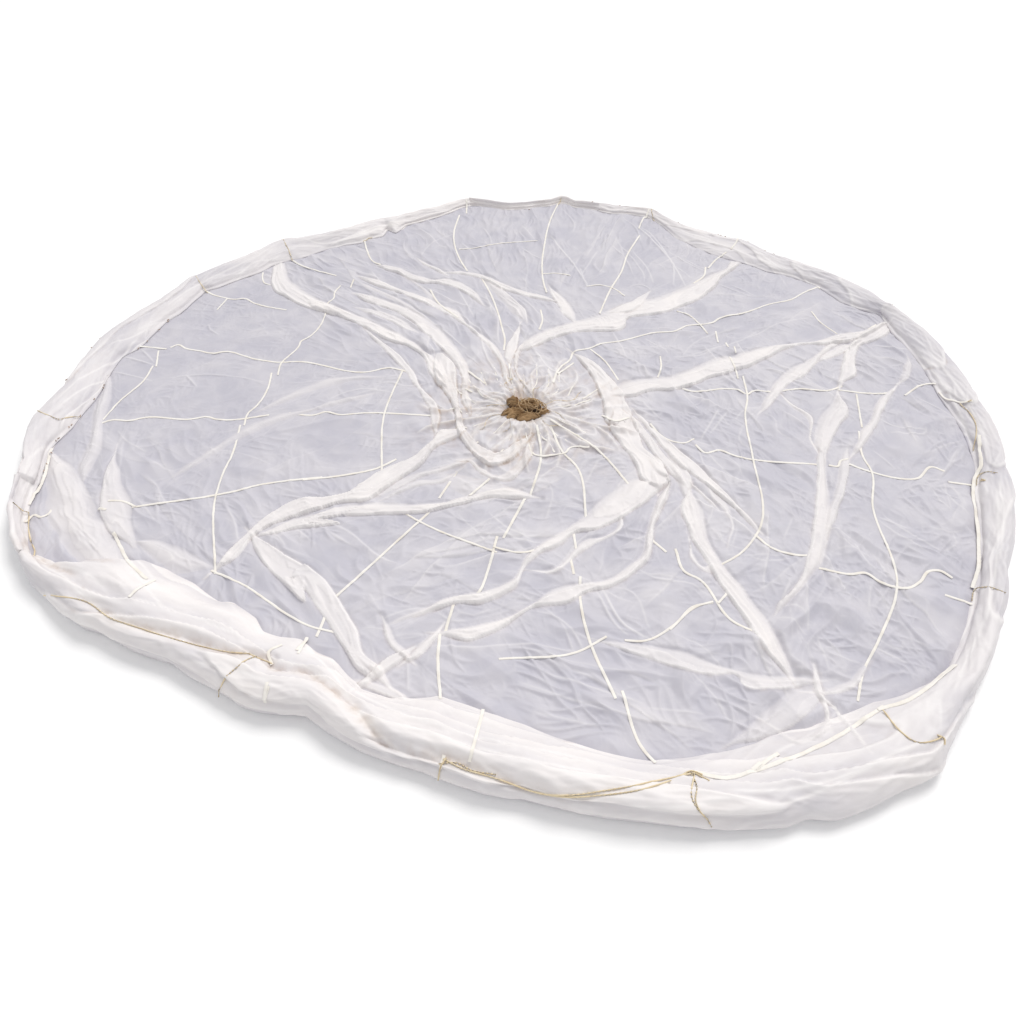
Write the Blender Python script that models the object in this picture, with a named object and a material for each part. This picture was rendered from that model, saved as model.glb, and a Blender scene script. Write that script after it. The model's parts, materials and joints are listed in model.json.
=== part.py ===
"""Round sheer parachute canopy, laid out on the floor with its skirt turned in.

Twenty cloth gores lie side by side round a gathered vent.  A narrow tape covers
each seam, four ring tapes cross them, and a skirt tape follows the turned-in hem.
At every seam a suspension line leaves the skirt tape and goes over the soft roll
of the skirt to the floor.

All sizes are in metres, +Z is up and the canopy lies on z = 0.  The tables give
places from the vent; the finished model is moved so that the middle of its
bounding box is at x = y = 0.
"""
import math

import bmesh
import bpy
import numpy as np
from mathutils.geometry import delaunay_2d_cdt

GORES = 20
CLOTH_THICKNESS = 0.002
TAPE_WIDTH = 0.015
TAPE_THICKNESS = 0.001
TAPE_GAP = 0.0004            # cloth to tape, and tape to tape where they cross
SEAM_GAP = 0.00016           # each gore keeps this far from the seam's centre line
STRIP_HALF_WIDTH = 0.009     # the cloth is level across under a tape, this far each side
VENT_RADIUS = 0.062
TAPE_START_RADIUS = 0.115

PLEAT_HEIGHT = 0.013         # gathers between the seams round the vent
PLEAT_REACH = 0.42
VENT_SEAM_HEIGHT = 0.004
RIPPLE_HEIGHT = 0.004        # slow waves of the cloth between the folds
HEM_CALM = 0.10              # folds die out within this distance of the hem

STATION_SPACING = 0.23       # longest straight stretch of a tape
STATION_TOLERANCE = 0.008    # a tape gets a bend where a straight one would miss by this
CREST_SPACING = 0.12
FILL_SPACING = 0.24

ROLL_LINE_START = 0.018      # width of the hem strip that carries the skirt tape
SKIRT_TAPE_WIDTH = 0.015
LINE_WIDTH = 0.005
LINE_THICKNESS = 0.003
LINE_END_HEIGHT = 0.009

# One row per seam, counter-clockwise from +X: where the seam crosses the four ring
# tapes, where the hem lies, the roll's outer edge, the roll's height, and the hem and
# the outer edge midway to the next seam.  The outer ring tape runs inside the roll
# along the front, so it has no place there.
SEAM_COLUMNS = ("ring_1", "ring_2", "ring_3", "ring_4", "hem", "edge", "roll", "mid_hem", "mid_edge")
SEAM_ROWS = (
    ((0.26, 0.06), (0.52, 0.16), (0.86, 0.14), (1.28, 0.13), (1.60, 0.10), (1.70, 0.08), 0.050, (1.61, 0.36), (1.715, 0.38)),
    ((0.20, 0.16), (0.50, 0.30), (0.86, 0.39), (1.27, 0.48), (1.53, 0.63), (1.62, 0.68), 0.050, (1.43, 0.77), (1.555, 0.87)),
    ((0.14, 0.23), (0.44, 0.48), (0.77, 0.605), (1.22, 0.82), (1.36, 0.91), (1.45, 0.98), 0.045, (1.17, 1.08), (1.25, 1.18)),
    ((0.10, 0.27), (0.34, 0.51), (0.65, 0.79), (0.90, 1.11), (1.00, 1.23), (1.10, 1.365), 0.035, (0.82, 1.41), (0.90, 1.49)),
    ((0.05, 0.295), (0.23, 0.55), (0.42, 0.93), (0.56, 1.30), (0.655, 1.61), (0.705, 1.71), 0.030, (0.43, 1.67), (0.46, 1.76)),
    ((0.00, 0.30), (0.08, 0.62), (0.115, 1.06), (0.135, 1.40), (0.205, 1.75), (0.23, 1.865), 0.030, (-0.06, 1.66), (-0.03, 1.79)),
    ((-0.06, 0.30), (-0.10, 0.63), (-0.27, 1.10), (-0.335, 1.33), (-0.32, 1.67), (-0.295, 1.84), 0.035, (-0.54, 1.50), (-0.57, 1.645)),
    ((-0.12, 0.275), (-0.22, 0.58), (-0.57, 1.07), (-0.72, 1.21), (-0.77, 1.38), (-0.79, 1.545), 0.045, (-0.96, 1.27), (-1.035, 1.405)),
    ((-0.175, 0.24), (-0.33, 0.50), (-0.79, 0.97), (-1.00, 1.08), (-1.10, 1.17), (-1.20, 1.33), 0.045, (-1.28, 1.05), (-1.38, 1.12)),
    ((-0.22, 0.19), (-0.42, 0.40), (-0.90, 0.69), (-1.35, 0.82), (-1.45, 0.89), (-1.53, 0.95), 0.050, (-1.56, 0.64), (-1.72, 0.56)),
    ((-0.26, 0.12), (-0.49, 0.25), (-0.98, 0.32), (-1.49, 0.42), (-1.60, 0.42), (-1.77, 0.38), 0.055, (-1.61, 0.19), (-1.775, 0.15)),
    ((-0.28, 0.00), (-0.53, -0.01), (-1.03, -0.04), (-1.51, -0.05), (-1.60, -0.03), (-1.79, -0.05), 0.060, (-1.54, -0.25), (-1.74, -0.27)),
    ((-0.25, -0.11), (-0.50, -0.30), (-1.03, -0.42), (-1.30, -0.48), (-1.45, -0.48), (-1.665, -0.53), 0.070, (-1.27, -0.66), (-1.47, -0.82)),
    ((-0.18, -0.20), (-0.46, -0.44), (-0.945, -0.75), None, (-1.06, -0.81), (-1.24, -0.97), 0.080, (-0.85, -0.92), (-0.98, -1.09)),
    ((-0.09, -0.25), (-0.35, -0.56), (-0.59, -0.96), None, (-0.645, -1.045), (-0.72, -1.225), 0.080, (-0.40, -1.14), (-0.48, -1.29)),
    ((0.02, -0.26), (-0.10, -0.68), (-0.25, -1.02), None, (-0.17, -1.22), (-0.20, -1.415), 0.080, (0.08, -1.29), (0.10, -1.48)),
    ((0.10, -0.24), (0.18, -0.53), (0.165, -1.02), None, (0.355, -1.37), (0.40, -1.505), 0.075, (0.64, -1.335), (0.73, -1.485)),
    ((0.165, -0.20), (0.345, -0.40), (0.54, -0.87), (0.82, -1.16), (0.89, -1.205), (1.00, -1.32), 0.070, (1.12, -1.05), (1.20, -1.10)),
    ((0.22, -0.14), (0.44, -0.28), (0.73, -0.60), (1.09, -0.82), (1.275, -0.86), (1.37, -0.89), 0.060, (1.41, -0.59), (1.50, -0.62)),
    ((0.26, -0.05), (0.52, -0.15), (0.79, -0.245), (1.18, -0.32), (1.50, -0.37), (1.60, -0.36), 0.055, (1.59, -0.12), (1.68, -0.12)),
)

# One row per main fold: half its width, its height, how far its crest leans to the
# left of the route (-1 to 1), and the route.
FOLD_COLUMNS = ("name", "half_width", "height", "lean", "route")
FOLD_ROWS = (
    ("left_sweep", 0.050, 0.034, -0.3, ((-1.18, 1.10), (-1.00, 0.84), (-0.72, 0.64), (-0.46, 0.44), (-0.33, 0.20))),
    ("vent_hook", 0.040, 0.032, -0.3, ((-0.33, 0.24), (-0.27, 0.02), (-0.20, -0.17), (-0.11, -0.26), (-0.04, -0.21))),
    ("left_branch", 0.035, 0.020, -0.4, ((-0.66, 0.54), (-0.50, 0.33), (-0.42, 0.14), (-0.35, -0.05))),
    ("second_sweep", 0.035, 0.024, -0.3, ((-0.82, 0.91), (-0.60, 0.74), (-0.42, 0.55), (-0.28, 0.38), (-0.20, 0.16))),
    ("third_sweep", 0.035, 0.030, -0.4, ((-0.90, 1.03), (-0.60, 0.93), (-0.36, 0.75), (-0.20, 0.51), (-0.06, 0.24))),
    ("fourth_sweep", 0.040, 0.026, -0.3, ((-0.90, 1.12), (-0.68, 1.13), (-0.46, 1.00), (-0.22, 0.84))),
    ("fifth_sweep", 0.035, 0.024, -0.3, ((-0.50, 1.18), (-0.36, 1.07), (-0.18, 1.05), (0.00, 0.91), (0.15, 0.78))),
    ("upper_right_band", 0.055, 0.034, 0.3, ((0.00, 0.40), (0.17, 0.57), (0.45, 0.69), (0.72, 0.84), (1.00, 1.09))),
    ("right_band", 0.048, 0.034, 0.3, ((0.36, 0.12), (0.60, 0.22), (0.90, 0.35), (1.25, 0.48), (1.53, 0.63))),
    ("right_second_band", 0.032, 0.022, -0.3, ((1.50, 0.58), (1.30, 0.43), (1.10, 0.25), (0.92, 0.06))),
    ("right_long_fold", 0.048, 0.028, -0.3, ((1.45, 0.52), (1.24, 0.17), (1.05, -0.15), (0.98, -0.42), (0.86, -0.74))),
    ("right_cross_fold", 0.035, 0.022, 0.2, ((1.48, 0.19), (1.25, -0.05), (1.10, -0.30), (0.95, -0.56))),
    ("vent_right_hump", 0.045, 0.030, 0.2, ((0.25, 0.36), (0.33, 0.12), (0.37, -0.15), (0.45, -0.34))),
    ("vent_right_fold", 0.026, 0.020, 0.3, ((0.43, 0.03), (0.50, -0.18), (0.62, -0.38), (0.74, -0.58))),
    ("long_lower_band", 0.042, 0.032, 0.3, ((0.51, -0.42), (0.56, -0.68), (0.62, -0.90), (0.69, -1.09))),
    ("first_lower_band", 0.036, 0.032, 0.3, ((0.44, -0.34), (0.22, -0.53), (0.00, -0.67), (-0.13, -0.84), (-0.40, -0.92))),
    ("second_lower_band", 0.034, 0.028, 0.3, ((0.45, -0.41), (0.36, -0.64), (0.15, -0.81), (-0.12, -0.96), (-0.40, -1.09))),
    ("left_lower_band", 0.042, 0.032, 0.3, ((-0.27, -0.11), (-0.42, -0.30), (-0.72, -0.49), (-0.95, -0.72))),
    ("left_lower_second", 0.036, 0.026, 0.3, ((0.00, -0.44), (-0.28, -0.48), (-0.56, -0.52), (-0.85, -0.60))),
    ("lower_left_diagonal", 0.048, 0.026, -0.2, ((-0.86, -0.61), (-0.70, -0.76), (-0.55, -0.95), (-0.43, -1.10))),
    ("left_flap", 0.036, 0.026, 0.2, ((-1.56, 0.14), (-1.50, -0.10), (-1.45, -0.32))),
    ("left_second_flap", 0.040, 0.028, 0.2, ((-1.43, -0.24), (-1.33, -0.48), (-1.13, -0.68))),
    ("front_fold", 0.040, 0.020, 0.2, ((-0.20, -1.02), (0.05, -1.11), (0.30, -1.21))),
    ("front_second_fold", 0.042, 0.022, 0.2, ((0.20, -1.01), (0.45, -1.08), (0.75, -1.14))),
    ("right_rim_fold", 0.048, 0.030, 0.2, ((1.28, -0.62), (1.15, -0.90), (0.97, -1.10))),
    ("left_shallow_fold", 0.045, 0.012, 0.0, ((-0.55, 0.13), (-0.85, 0.03), (-1.10, -0.18), (-1.22, -0.34))),
    ("far_fold", 0.032, 0.016, 0.2, ((0.61, 1.52), (0.66, 1.28), (0.73, 1.00))),
    ("vent_lower_fold", 0.028, 0.020, 0.2, ((-0.22, -0.27), (-0.10, -0.35), (0.00, -0.30))),
)


def table(columns, rows):
    """The rows of a table as dictionaries keyed by the column names."""
    return [dict(zip(columns, row)) for row in rows]


def smoothstep(value):
    value = min(max(value, 0.0), 1.0)
    return value * value * (3.0 - 2.0 * value)


def left_of(direction):
    return np.array((-direction[1], direction[0]))


def unit(vector):
    return vector / math.hypot(vector[0], vector[1])


class Curve:
    """Smooth plan curve through the given points, read by the length of its chords."""

    def __init__(self, points):
        self.points = np.array(points, dtype=float)
        steps = np.hypot(*np.diff(self.points, axis=0).T)
        self.knots = np.concatenate(((0.0,), np.cumsum(steps)))
        slopes = np.diff(self.points, axis=0) / steps[:, None]
        weights = (steps[:-1] / (steps[:-1] + steps[1:]))[:, None]
        inner = slopes[:-1] * (1.0 - weights) + slopes[1:] * weights
        self.tangents = np.vstack((slopes[:1], inner, slopes[-1:]))

    def _span(self, place):
        index = int(np.searchsorted(self.knots, place, side="right")) - 1
        index = min(max(index, 0), len(self.knots) - 2)
        step = self.knots[index + 1] - self.knots[index]
        return index, step, (place - self.knots[index]) / step

    def at(self, place):
        index, step, t = self._span(place)
        a, b = self.points[index], self.points[index + 1]
        m, n = self.tangents[index] * step, self.tangents[index + 1] * step
        return ((2 * t**3 - 3 * t**2 + 1) * a + (t**3 - 2 * t**2 + t) * m
                + (3 * t**2 - 2 * t**3) * b + (t**3 - t**2) * n)

    def direction(self, place):
        step = 0.002
        return unit(self.at(place + step) - self.at(place - step))

    def sampled(self, spacing):
        count = max(2, int(round(self.knots[-1] / spacing)) + 1)
        return np.array([self.at(place) for place in np.linspace(0.0, self.knots[-1], count)])


SEAMS = table(SEAM_COLUMNS, SEAM_ROWS)
FOLDS = table(FOLD_COLUMNS, FOLD_ROWS)
for fold in FOLDS:
    fold["line"] = Curve(fold["route"]).sampled(0.015)
HEM_LINE = Curve([point for row in SEAMS + SEAMS[:1] for point in (row["hem"], row["mid_hem"])][:-1]).sampled(0.02)


def fold_profile(fold, point):
    """Height of one fold at a plan point: a leaning ridge that dies out at its ends."""
    line = fold["line"]
    gaps = line - point
    nearest = int(np.argmin(gaps[:, 0]**2 + gaps[:, 1]**2))
    before, after = max(nearest - 1, 0), min(nearest + 1, len(line) - 1)
    along = unit(line[after] - line[before])
    offset = point - line[nearest]
    overrun = abs(float(np.dot(offset, along)))
    across = float(np.dot(offset, left_of(along))) / fold["half_width"]
    if abs(across) >= 1.0 or overrun > 0.012:
        return 0.0
    lean = fold["lean"]
    rise = (1.0 + across) / (1.0 + lean) if across < lean else (1.0 - across) / (1.0 - lean)
    end = min(nearest, len(line) - 1 - nearest) / 6.0
    return fold["height"] * rise * smoothstep(0.3 + end)


def surface_height(point, pleat=0.0):
    """Height of the cloth's underside; pleat is 0 on a seam and 1 midway between two."""
    point = np.asarray(point, dtype=float)
    radius = math.hypot(point[0], point[1])
    gaps = HEM_LINE - point
    hem_distance = math.sqrt(float(np.min(gaps[:, 0]**2 + gaps[:, 1]**2)))
    calm = smoothstep(hem_distance / HEM_CALM)
    folds = max(fold_profile(fold, point) for fold in FOLDS)
    ripple = RIPPLE_HEIGHT * math.sin(5.3 * point[0] + 1.1) * math.sin(6.1 * point[1] - 0.4)
    gather = smoothstep((PLEAT_REACH - radius) / PLEAT_REACH)
    vent = VENT_SEAM_HEIGHT * smoothstep((0.3 - radius) / 0.2)
    return max(folds, ripple, 0.0) * calm * smoothstep((radius - 0.10) / 0.10) + PLEAT_HEIGHT * gather * pleat + vent


def bends(heights, places, tolerance):
    """Places at which a straight run between the ends misses the heights by more than the tolerance."""
    if len(places) < 3:
        return []
    share = (places - places[0]) / (places[-1] - places[0])
    miss = np.abs(heights - (heights[0] + share * (heights[-1] - heights[0])))
    worst = int(np.argmax(miss))
    if miss[worst] < tolerance:
        return []
    return (bends(heights[:worst + 1], places[:worst + 1], tolerance) + [places[worst]]
            + bends(heights[worst:], places[worst:], tolerance))


def stations_between(low, high, height_at):
    """Places strictly between two others where a tape needs a joint, at least 22 mm apart."""
    places = np.linspace(low, high, max(3, int((high - low) / 0.008)))
    chosen = []
    for place in bends(np.array([height_at(place) for place in places]), places, STATION_TOLERANCE):
        if place - (chosen[-1] if chosen else low) >= 0.022 and high - place >= 0.022:
            chosen.append(place)
    filled = []
    for start, end in zip([low] + chosen, chosen + [high]):
        parts = max(1, math.ceil((end - start) / STATION_SPACING))
        filled += [start + (end - start) * part / parts for part in range(1, parts)]
        filled.append(end)
    return filled[:-1]


def add_lifts(stations, closed=False):
    """How far a tape rises at each station to clear a strip of cloth that slopes round a bend."""
    for station in stations:
        station["lift"] = 0.0
    for here, there in zip(stations, stations[1:] + stations[:1] if closed else stations[1:]):
        turn = abs(here["side"][0] * there["side"][1] - here["side"][1] * there["side"][0])
        slope = abs(there["height"] - here["height"]) / math.hypot(*(there["point"] - here["point"]))
        for station in (here, there):
            station["lift"] = max(station["lift"], STRIP_HALF_WIDTH * turn * slope)


def make_seam(index):
    """A seam's curve, its stations from the vent to the hem, and where its ring crossings are."""
    row = SEAMS[index]
    angle = 2.0 * math.pi * index / GORES
    ray = np.array((math.cos(angle), math.sin(angle)))
    rings = [name for name in ("ring_1", "ring_2", "ring_3", "ring_4") if row[name]]
    curve = Curve([ray * VENT_RADIUS, ray * TAPE_START_RADIUS] + [row[name] for name in rings]
                  + [row["hem"], row["edge"]])
    places = [curve.knots[1]]
    pads = {}
    for name, knot in zip(rings, curve.knots[2:]):
        places += stations_between(places[-1], knot - STRIP_HALF_WIDTH, lambda p: surface_height(curve.at(p)))
        pads[name] = len(places)
        places += [knot - STRIP_HALF_WIDTH, knot + STRIP_HALF_WIDTH]
    hem = curve.knots[-2]
    places += stations_between(places[-1], hem, lambda p: surface_height(curve.at(p)))
    places.append(hem)
    outward = unit(np.array(row["edge"]) - np.array(row["hem"]))
    stations = []
    for number, place in enumerate(places):
        point = curve.at(place)
        side = left_of(outward) if number == len(places) - 1 else left_of(curve.direction(place))
        stations.append({"point": point, "side": side, "height": surface_height(point)})
    for pad in pads.values():      # level where a ring tape crosses
        level = max(stations[pad]["height"], stations[pad + 1]["height"])
        stations[pad]["height"] = stations[pad + 1]["height"] = level
        stations[pad]["side"] = stations[pad + 1]["side"]
    stations[-1]["height"] = 0.0
    add_lifts(stations)
    return {"stations": stations, "pads": pads, "vent": ray * VENT_RADIUS, "outward": outward}


SEAM_LINES = [make_seam(index) for index in range(GORES)]


def seam(index):
    return SEAM_LINES[index % GORES]


def gore_fraction_pleat(point, gore):
    """0 on the gore's seams and 1 midway between them."""
    distances = []
    for index in (gore, gore + 1):
        line = np.array([station["point"] for station in seam(index)["stations"]])
        ends = line[1:] - line[:-1]
        share = np.clip(((point - line[:-1]) * ends).sum(axis=1) / (ends**2).sum(axis=1), 0.0, 1.0)
        gaps = line[:-1] + ends * share[:, None] - point
        distances.append(math.sqrt(float((gaps**2).sum(axis=1).min())))
    return 1.0 - abs(distances[0] - distances[1]) / (distances[0] + distances[1])


def ring_stations(name, gore):
    """Joints of a ring tape across one gore, between the level pads on its two seams."""
    ends = []
    for index, sign in ((gore, 1.0), (gore + 1, -1.0)):
        line = seam(index)
        first = line["stations"][line["pads"][name]]
        second = line["stations"][line["pads"][name] + 1]
        ends.append((first["point"] + second["point"]) / 2 + sign * first["side"] * STRIP_HALF_WIDTH)
    start, end = ends
    length = math.hypot(*(end - start))
    along = (end - start) / length
    height_at = lambda p: surface_height(start + along * p, gore_fraction_pleat(start + along * p, gore))
    places = stations_between(0.0, length, height_at)
    if not places:
        places = [length / 2]
    return [{"point": start + along * place, "side": left_of(along), "height": height_at(place)}
            for place in places]


RING_NAMES = ("ring_1", "ring_2", "ring_3", "ring_4")
RINGS = {(name, gore): ring_stations(name, gore) for name in RING_NAMES for gore in range(GORES)
         if name in seam(gore)["pads"] and name in seam(gore + 1)["pads"]}


# ---------------------------------------------------------------- the roll of the skirt

ROLL_FRACTIONS = (0.5,)


def roll_profile(width, height):
    """Section of the roll's outer face, from the floor under the hem out, up and back in."""
    hem = 0.011 + 0.10 * height
    top = (0.5 * width, 0.88 * height)
    lip_share = ROLL_LINE_START / top[0]
    return np.array(((0.0, 0.0), (width - 0.35 * height, 0.0), (width, 0.40 * height),
                     (width - 0.24 * height, 0.94 * height), top,
                     (ROLL_LINE_START, hem + (top[1] - hem) * lip_share), (0.0, hem)))


def offset_profile(profile, distance):
    """The profile moved square to itself, to the outside of the roll for a positive distance."""
    steps = np.diff(profile, axis=0)
    normals = np.stack((steps[:, 1], -steps[:, 0]), axis=1) / np.hypot(*steps.T)[:, None]
    moved = []
    for index, point in enumerate(profile):
        before = normals[max(index - 1, 0)]
        after = normals[min(index, len(normals) - 1)]
        bisector = before + after
        moved.append(point + bisector * (2.0 * distance / float(np.dot(bisector, bisector))))
    return np.array(moved)


def roll_column(gore, fraction):
    """Hem point, outward direction, width and height of the roll at a fraction of a gore."""
    first, second = SEAMS[gore % GORES], SEAMS[(gore + 1) % GORES]
    weights = ((1 - fraction) * (1 - 2 * fraction), 4 * fraction * (1 - fraction), fraction * (2 * fraction - 1))
    hem = sum(w * np.array(p) for w, p in zip(weights, (first["hem"], first["mid_hem"], second["hem"])))
    edge = sum(w * np.array(p) for w, p in zip(weights, (first["edge"], first["mid_edge"], second["edge"])))
    bulge = 1.0 + 0.6 * fraction * (1.0 - fraction)
    height = ((1 - fraction) * first["roll"] + fraction * second["roll"]) * bulge
    return {"hem": hem, "outward": unit(edge - hem), "width": math.hypot(*(edge - hem)), "height": height}


def roll_points(column, profile, shift=0.0):
    """The profile's points in space; shift moves them sideways along the rim."""
    base = column["hem"] + left_of(column["outward"]) * shift
    return [np.array((*(base + column["outward"] * reach), level)) for reach, level in profile]


# ---------------------------------------------------------------- solids

class Sheet:
    """A thin sheet given by low and high points over one set of triangles."""

    def __init__(self):
        self.low, self.high, self.triangles = [], [], []

    def point(self, low, high):
        self.low.append(tuple(low))
        self.high.append(tuple(high))
        return len(self.low) - 1

    def flat_point(self, plan, height):
        return self.point((plan[0], plan[1], height), (plan[0], plan[1], height + CLOTH_THICKNESS))

    def quad(self, a, b, c, d, flip=False):
        for triangle in ((a, b, c), (a, c, d)):
            self.triangles.append(triangle[::-1] if flip else triangle)

    def cell(self, boundary, inside):
        """Triangulate the area inside a loop of points, through further points in it."""
        ids = boundary + inside
        plan = [tuple(self.low[i][:2]) for i in ids]
        points, _, faces, sources, _, _ = delaunay_2d_cdt(plan, [], [list(range(len(boundary)))], 0, 1e-7, True)
        assert len(points) == len(ids), "crossing cell outline"
        back = [ids[source[0]] for source in sources]
        faces = [tuple(back[i] for i in face) for face in faces]
        beside = {(face[i], face[(i + 1) % 3]): face for face in faces for i in range(3)}
        outline = set(zip(boundary, boundary[1:] + boundary[:1]))
        waiting, kept = [beside[edge] for edge in sorted(outline)], set()
        while waiting:                 # spread from the outline inwards
            face = waiting.pop()
            if face not in kept:
                kept.add(face)
                edges = [(face[i], face[(i + 1) % 3]) for i in range(3)]
                waiting += [beside[(b, a)] for a, b in edges if (a, b) not in outline]
        self.triangles += sorted(kept)

    def solid(self):
        count = len(self.low)
        faces = [tuple(i + count for i in triangle) for triangle in self.triangles]
        faces += [triangle[::-1] for triangle in self.triangles]
        edges = {(t[i], t[(i + 1) % 3]) for t in self.triangles for i in range(3)}
        for a, b in sorted(edges):
            if (b, a) not in edges:
                faces += [(a, b, b + count), (a, b + count, a + count)]
        return self.low + self.high, faces


def strip_solid(sections, closed=False):
    """A four-sided bar through sections given as (low left, low right, high right, high left)."""
    points = [tuple(p) for section in sections for p in section]
    faces = []
    count = len(sections)
    for index in range(count if closed else count - 1):
        here, there = 4 * index, 4 * ((index + 1) % count)
        for corner in range(4):
            a, b = here + corner, here + (corner + 1) % 4
            c, d = there + (corner + 1) % 4, there + corner
            faces += [(a, b, c), (a, c, d)]
    if not closed:
        last = 4 * (count - 1)
        faces += [(0, 3, 2), (0, 2, 1), (last, last + 1, last + 2), (last, last + 2, last + 3)]
    return points, faces


def inside_polygon(point, polygon):
    odd = False
    for (ax, ay), (bx, by) in zip(polygon, polygon[1:] + polygon[:1]):
        if (ay > point[1]) != (by > point[1]) and point[0] < ax + (point[1] - ay) * (bx - ax) / (by - ay):
            odd = not odd
    return odd


def distance_to_loop(point, loop):
    loop = np.array(loop)
    steps = np.roll(loop, -1, axis=0) - loop
    share = np.clip(((point - loop) * steps).sum(axis=1) / (steps**2).sum(axis=1), 0.0, 1.0)
    gaps = loop + steps * share[:, None] - point
    return math.sqrt(float((gaps**2).sum(axis=1).min()))


def feature_points():
    """Crest points, then foot points, of all folds, highest folds first, then an even fill."""
    crests, feet = [], []
    for fold in sorted(FOLDS, key=lambda item: -item["height"]):
        curve = Curve(fold["route"])
        steps = max(2, round(curve.knots[-1] / CREST_SPACING))
        for step in range(steps + 1):
            place = curve.knots[-1] * step / steps
            point, side = curve.at(place), left_of(curve.direction(place))
            crests.append(point + side * fold["lean"] * fold["half_width"])
            if 0 < step < steps:
                feet += [point + side * fold["half_width"], point - side * fold["half_width"]]
    fill = []
    rows = int(3.8 / (FILL_SPACING * 0.87))
    for row in range(rows):
        for column in range(int(3.8 / FILL_SPACING)):
            fill.append(np.array((-1.9 + FILL_SPACING * (column + 0.5 * (row % 2)), -1.6 + FILL_SPACING * 0.87 * row)))
    return [(point, 0.028, 0.013) for point in crests] + [(point, 0.024, 0.013) for point in feet] \
        + [(point, 0.085, 0.045) for point in fill]


FEATURES = feature_points()


def build_gore(gore):
    """One cloth gore from the vent to the hem, with the roll of its skirt."""
    sheet = Sheet()
    sides = []
    for index, sign in ((gore, 1.0), (gore + 1, -1.0)):
        line = seam(index)
        outer, inner = [], []
        for station in line["stations"]:
            outer.append(sheet.flat_point(station["point"] + sign * station["side"] * SEAM_GAP, station["height"]))
            inner.append(sheet.flat_point(station["point"] + sign * station["side"] * STRIP_HALF_WIDTH,
                                          station["height"]))
        for i in range(len(outer) - 1):
            sheet.quad(outer[i], outer[i + 1], inner[i + 1], inner[i], flip=sign < 0)
        sides.append({"seam": outer, "strip": inner, "pads": line["pads"], "sign": sign, "line": line})
    right, left = sides

    # the gathered end at the vent: a little pleat between the two seams
    start = (np.array(sheet.low[right["strip"][0]][:2]) + np.array(sheet.low[left["strip"][0]][:2])) / 2
    crest = sheet.flat_point(start, surface_height(start, 1.0))
    vents = [sheet.flat_point(side["line"]["vent"] + side["sign"] * side["line"]["stations"][0]["side"] * SEAM_GAP,
                              VENT_SEAM_HEIGHT) for side in sides]
    middle = unit(right["line"]["vent"] + left["line"]["vent"]) * VENT_RADIUS
    vent_crest = sheet.flat_point(middle, surface_height(middle, 0.8))
    sheet.cell([vents[0], right["seam"][0], right["strip"][0], crest, left["strip"][0], left["seam"][0],
                vents[1], vent_crest], [])

    # ring strips
    lower_edge = [right["strip"][0], crest, left["strip"][0]]
    lower_at = (0, 0)
    names = [name for name in RING_NAMES if (name, gore) in RINGS]
    cells = []
    for name in names:
        pads = (right["pads"][name], left["pads"][name])
        inner_edge, outer_edge = [right["strip"][pads[0]]], [right["strip"][pads[0] + 1]]
        for station in RINGS[(name, gore)]:
            for edge, sign in ((inner_edge, 1.0), (outer_edge, -1.0)):
                plan = station["point"] + sign * station["side"] * STRIP_HALF_WIDTH
                edge.append(sheet.flat_point(plan, station["height"]))
        inner_edge.append(left["strip"][pads[1]])
        outer_edge.append(left["strip"][pads[1] + 1])
        for i in range(len(inner_edge) - 1):
            sheet.quad(outer_edge[i], outer_edge[i + 1], inner_edge[i + 1], inner_edge[i])
        cells.append((lower_edge, lower_at, inner_edge, pads))
        lower_edge, lower_at = outer_edge, (pads[0] + 1, pads[1] + 1)

    # the roll: columns of rows from the toe over the top to the hem
    columns = []
    ends = (len(right["seam"]) - 1, len(left["seam"]) - 1)
    for side, fraction, key, shift in (
            (right, 0.0, "seam", SEAM_GAP), (right, 0.0, "strip", STRIP_HALF_WIDTH),
            *((None, fraction, None, 0.0) for fraction in ROLL_FRACTIONS),
            (left, 1.0, "strip", -STRIP_HALF_WIDTH), (left, 1.0, "seam", -SEAM_GAP)):
        column = roll_column(gore, fraction)
        profile = roll_profile(column["width"], column["height"])
        lows = roll_points(column, profile, shift)
        highs = roll_points(column, offset_profile(profile, -CLOTH_THICKNESS), shift)
        if side:
            first = side[key][ends[0] if side is right else ends[1]]
        else:
            first = sheet.point(lows[0], highs[0])
        columns.append([first] + [sheet.point(low, high) for low, high in zip(lows[1:], highs[1:])])
    for here, there in zip(columns, columns[1:]):
        for row in range(len(here) - 1):
            sheet.quad(here[row], here[row + 1], there[row + 1], there[row])
    toe = [column[0] for column in columns[1:-1]]
    cells.append((lower_edge, lower_at, toe, ends))

    # cloth between the strips, through the crests and feet of the folds
    for number, (bottom, low_at, top, high_at) in enumerate(cells):
        up = right["strip"][low_at[0] + 1:high_at[0]]
        down = left["strip"][low_at[1] + 1:high_at[1]]
        boundary = bottom[:1] + up + top + down[::-1] + bottom[:0:-1]
        loop = [sheet.low[i][:2] for i in boundary]
        kept = []
        candidates = list(FEATURES)
        if number < 2:
            spine_low = sum(np.array(sheet.low[i][:2]) for i in (bottom[0], bottom[-1])) / 2
            spine_high = sum(np.array(sheet.low[i][:2]) for i in (top[0], top[-1])) / 2
            steps = (3, 5)[number]
            spine = [spine_low + (spine_high - spine_low) * step / steps for step in range(1, steps)]
            candidates = [(point, 0.020, 0.006) for point in spine] + candidates
        for point, clear, margin in candidates:
            if not inside_polygon(point, loop) or distance_to_loop(point, loop) < margin:
                continue
            if all(math.hypot(*(point - other)) >= clear for other in kept):
                kept.append(point)
        inside = [sheet.flat_point(point, surface_height(point, gore_fraction_pleat(point, gore))) for point in kept]
        sheet.cell(boundary, inside)
    return sheet.solid()


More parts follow.
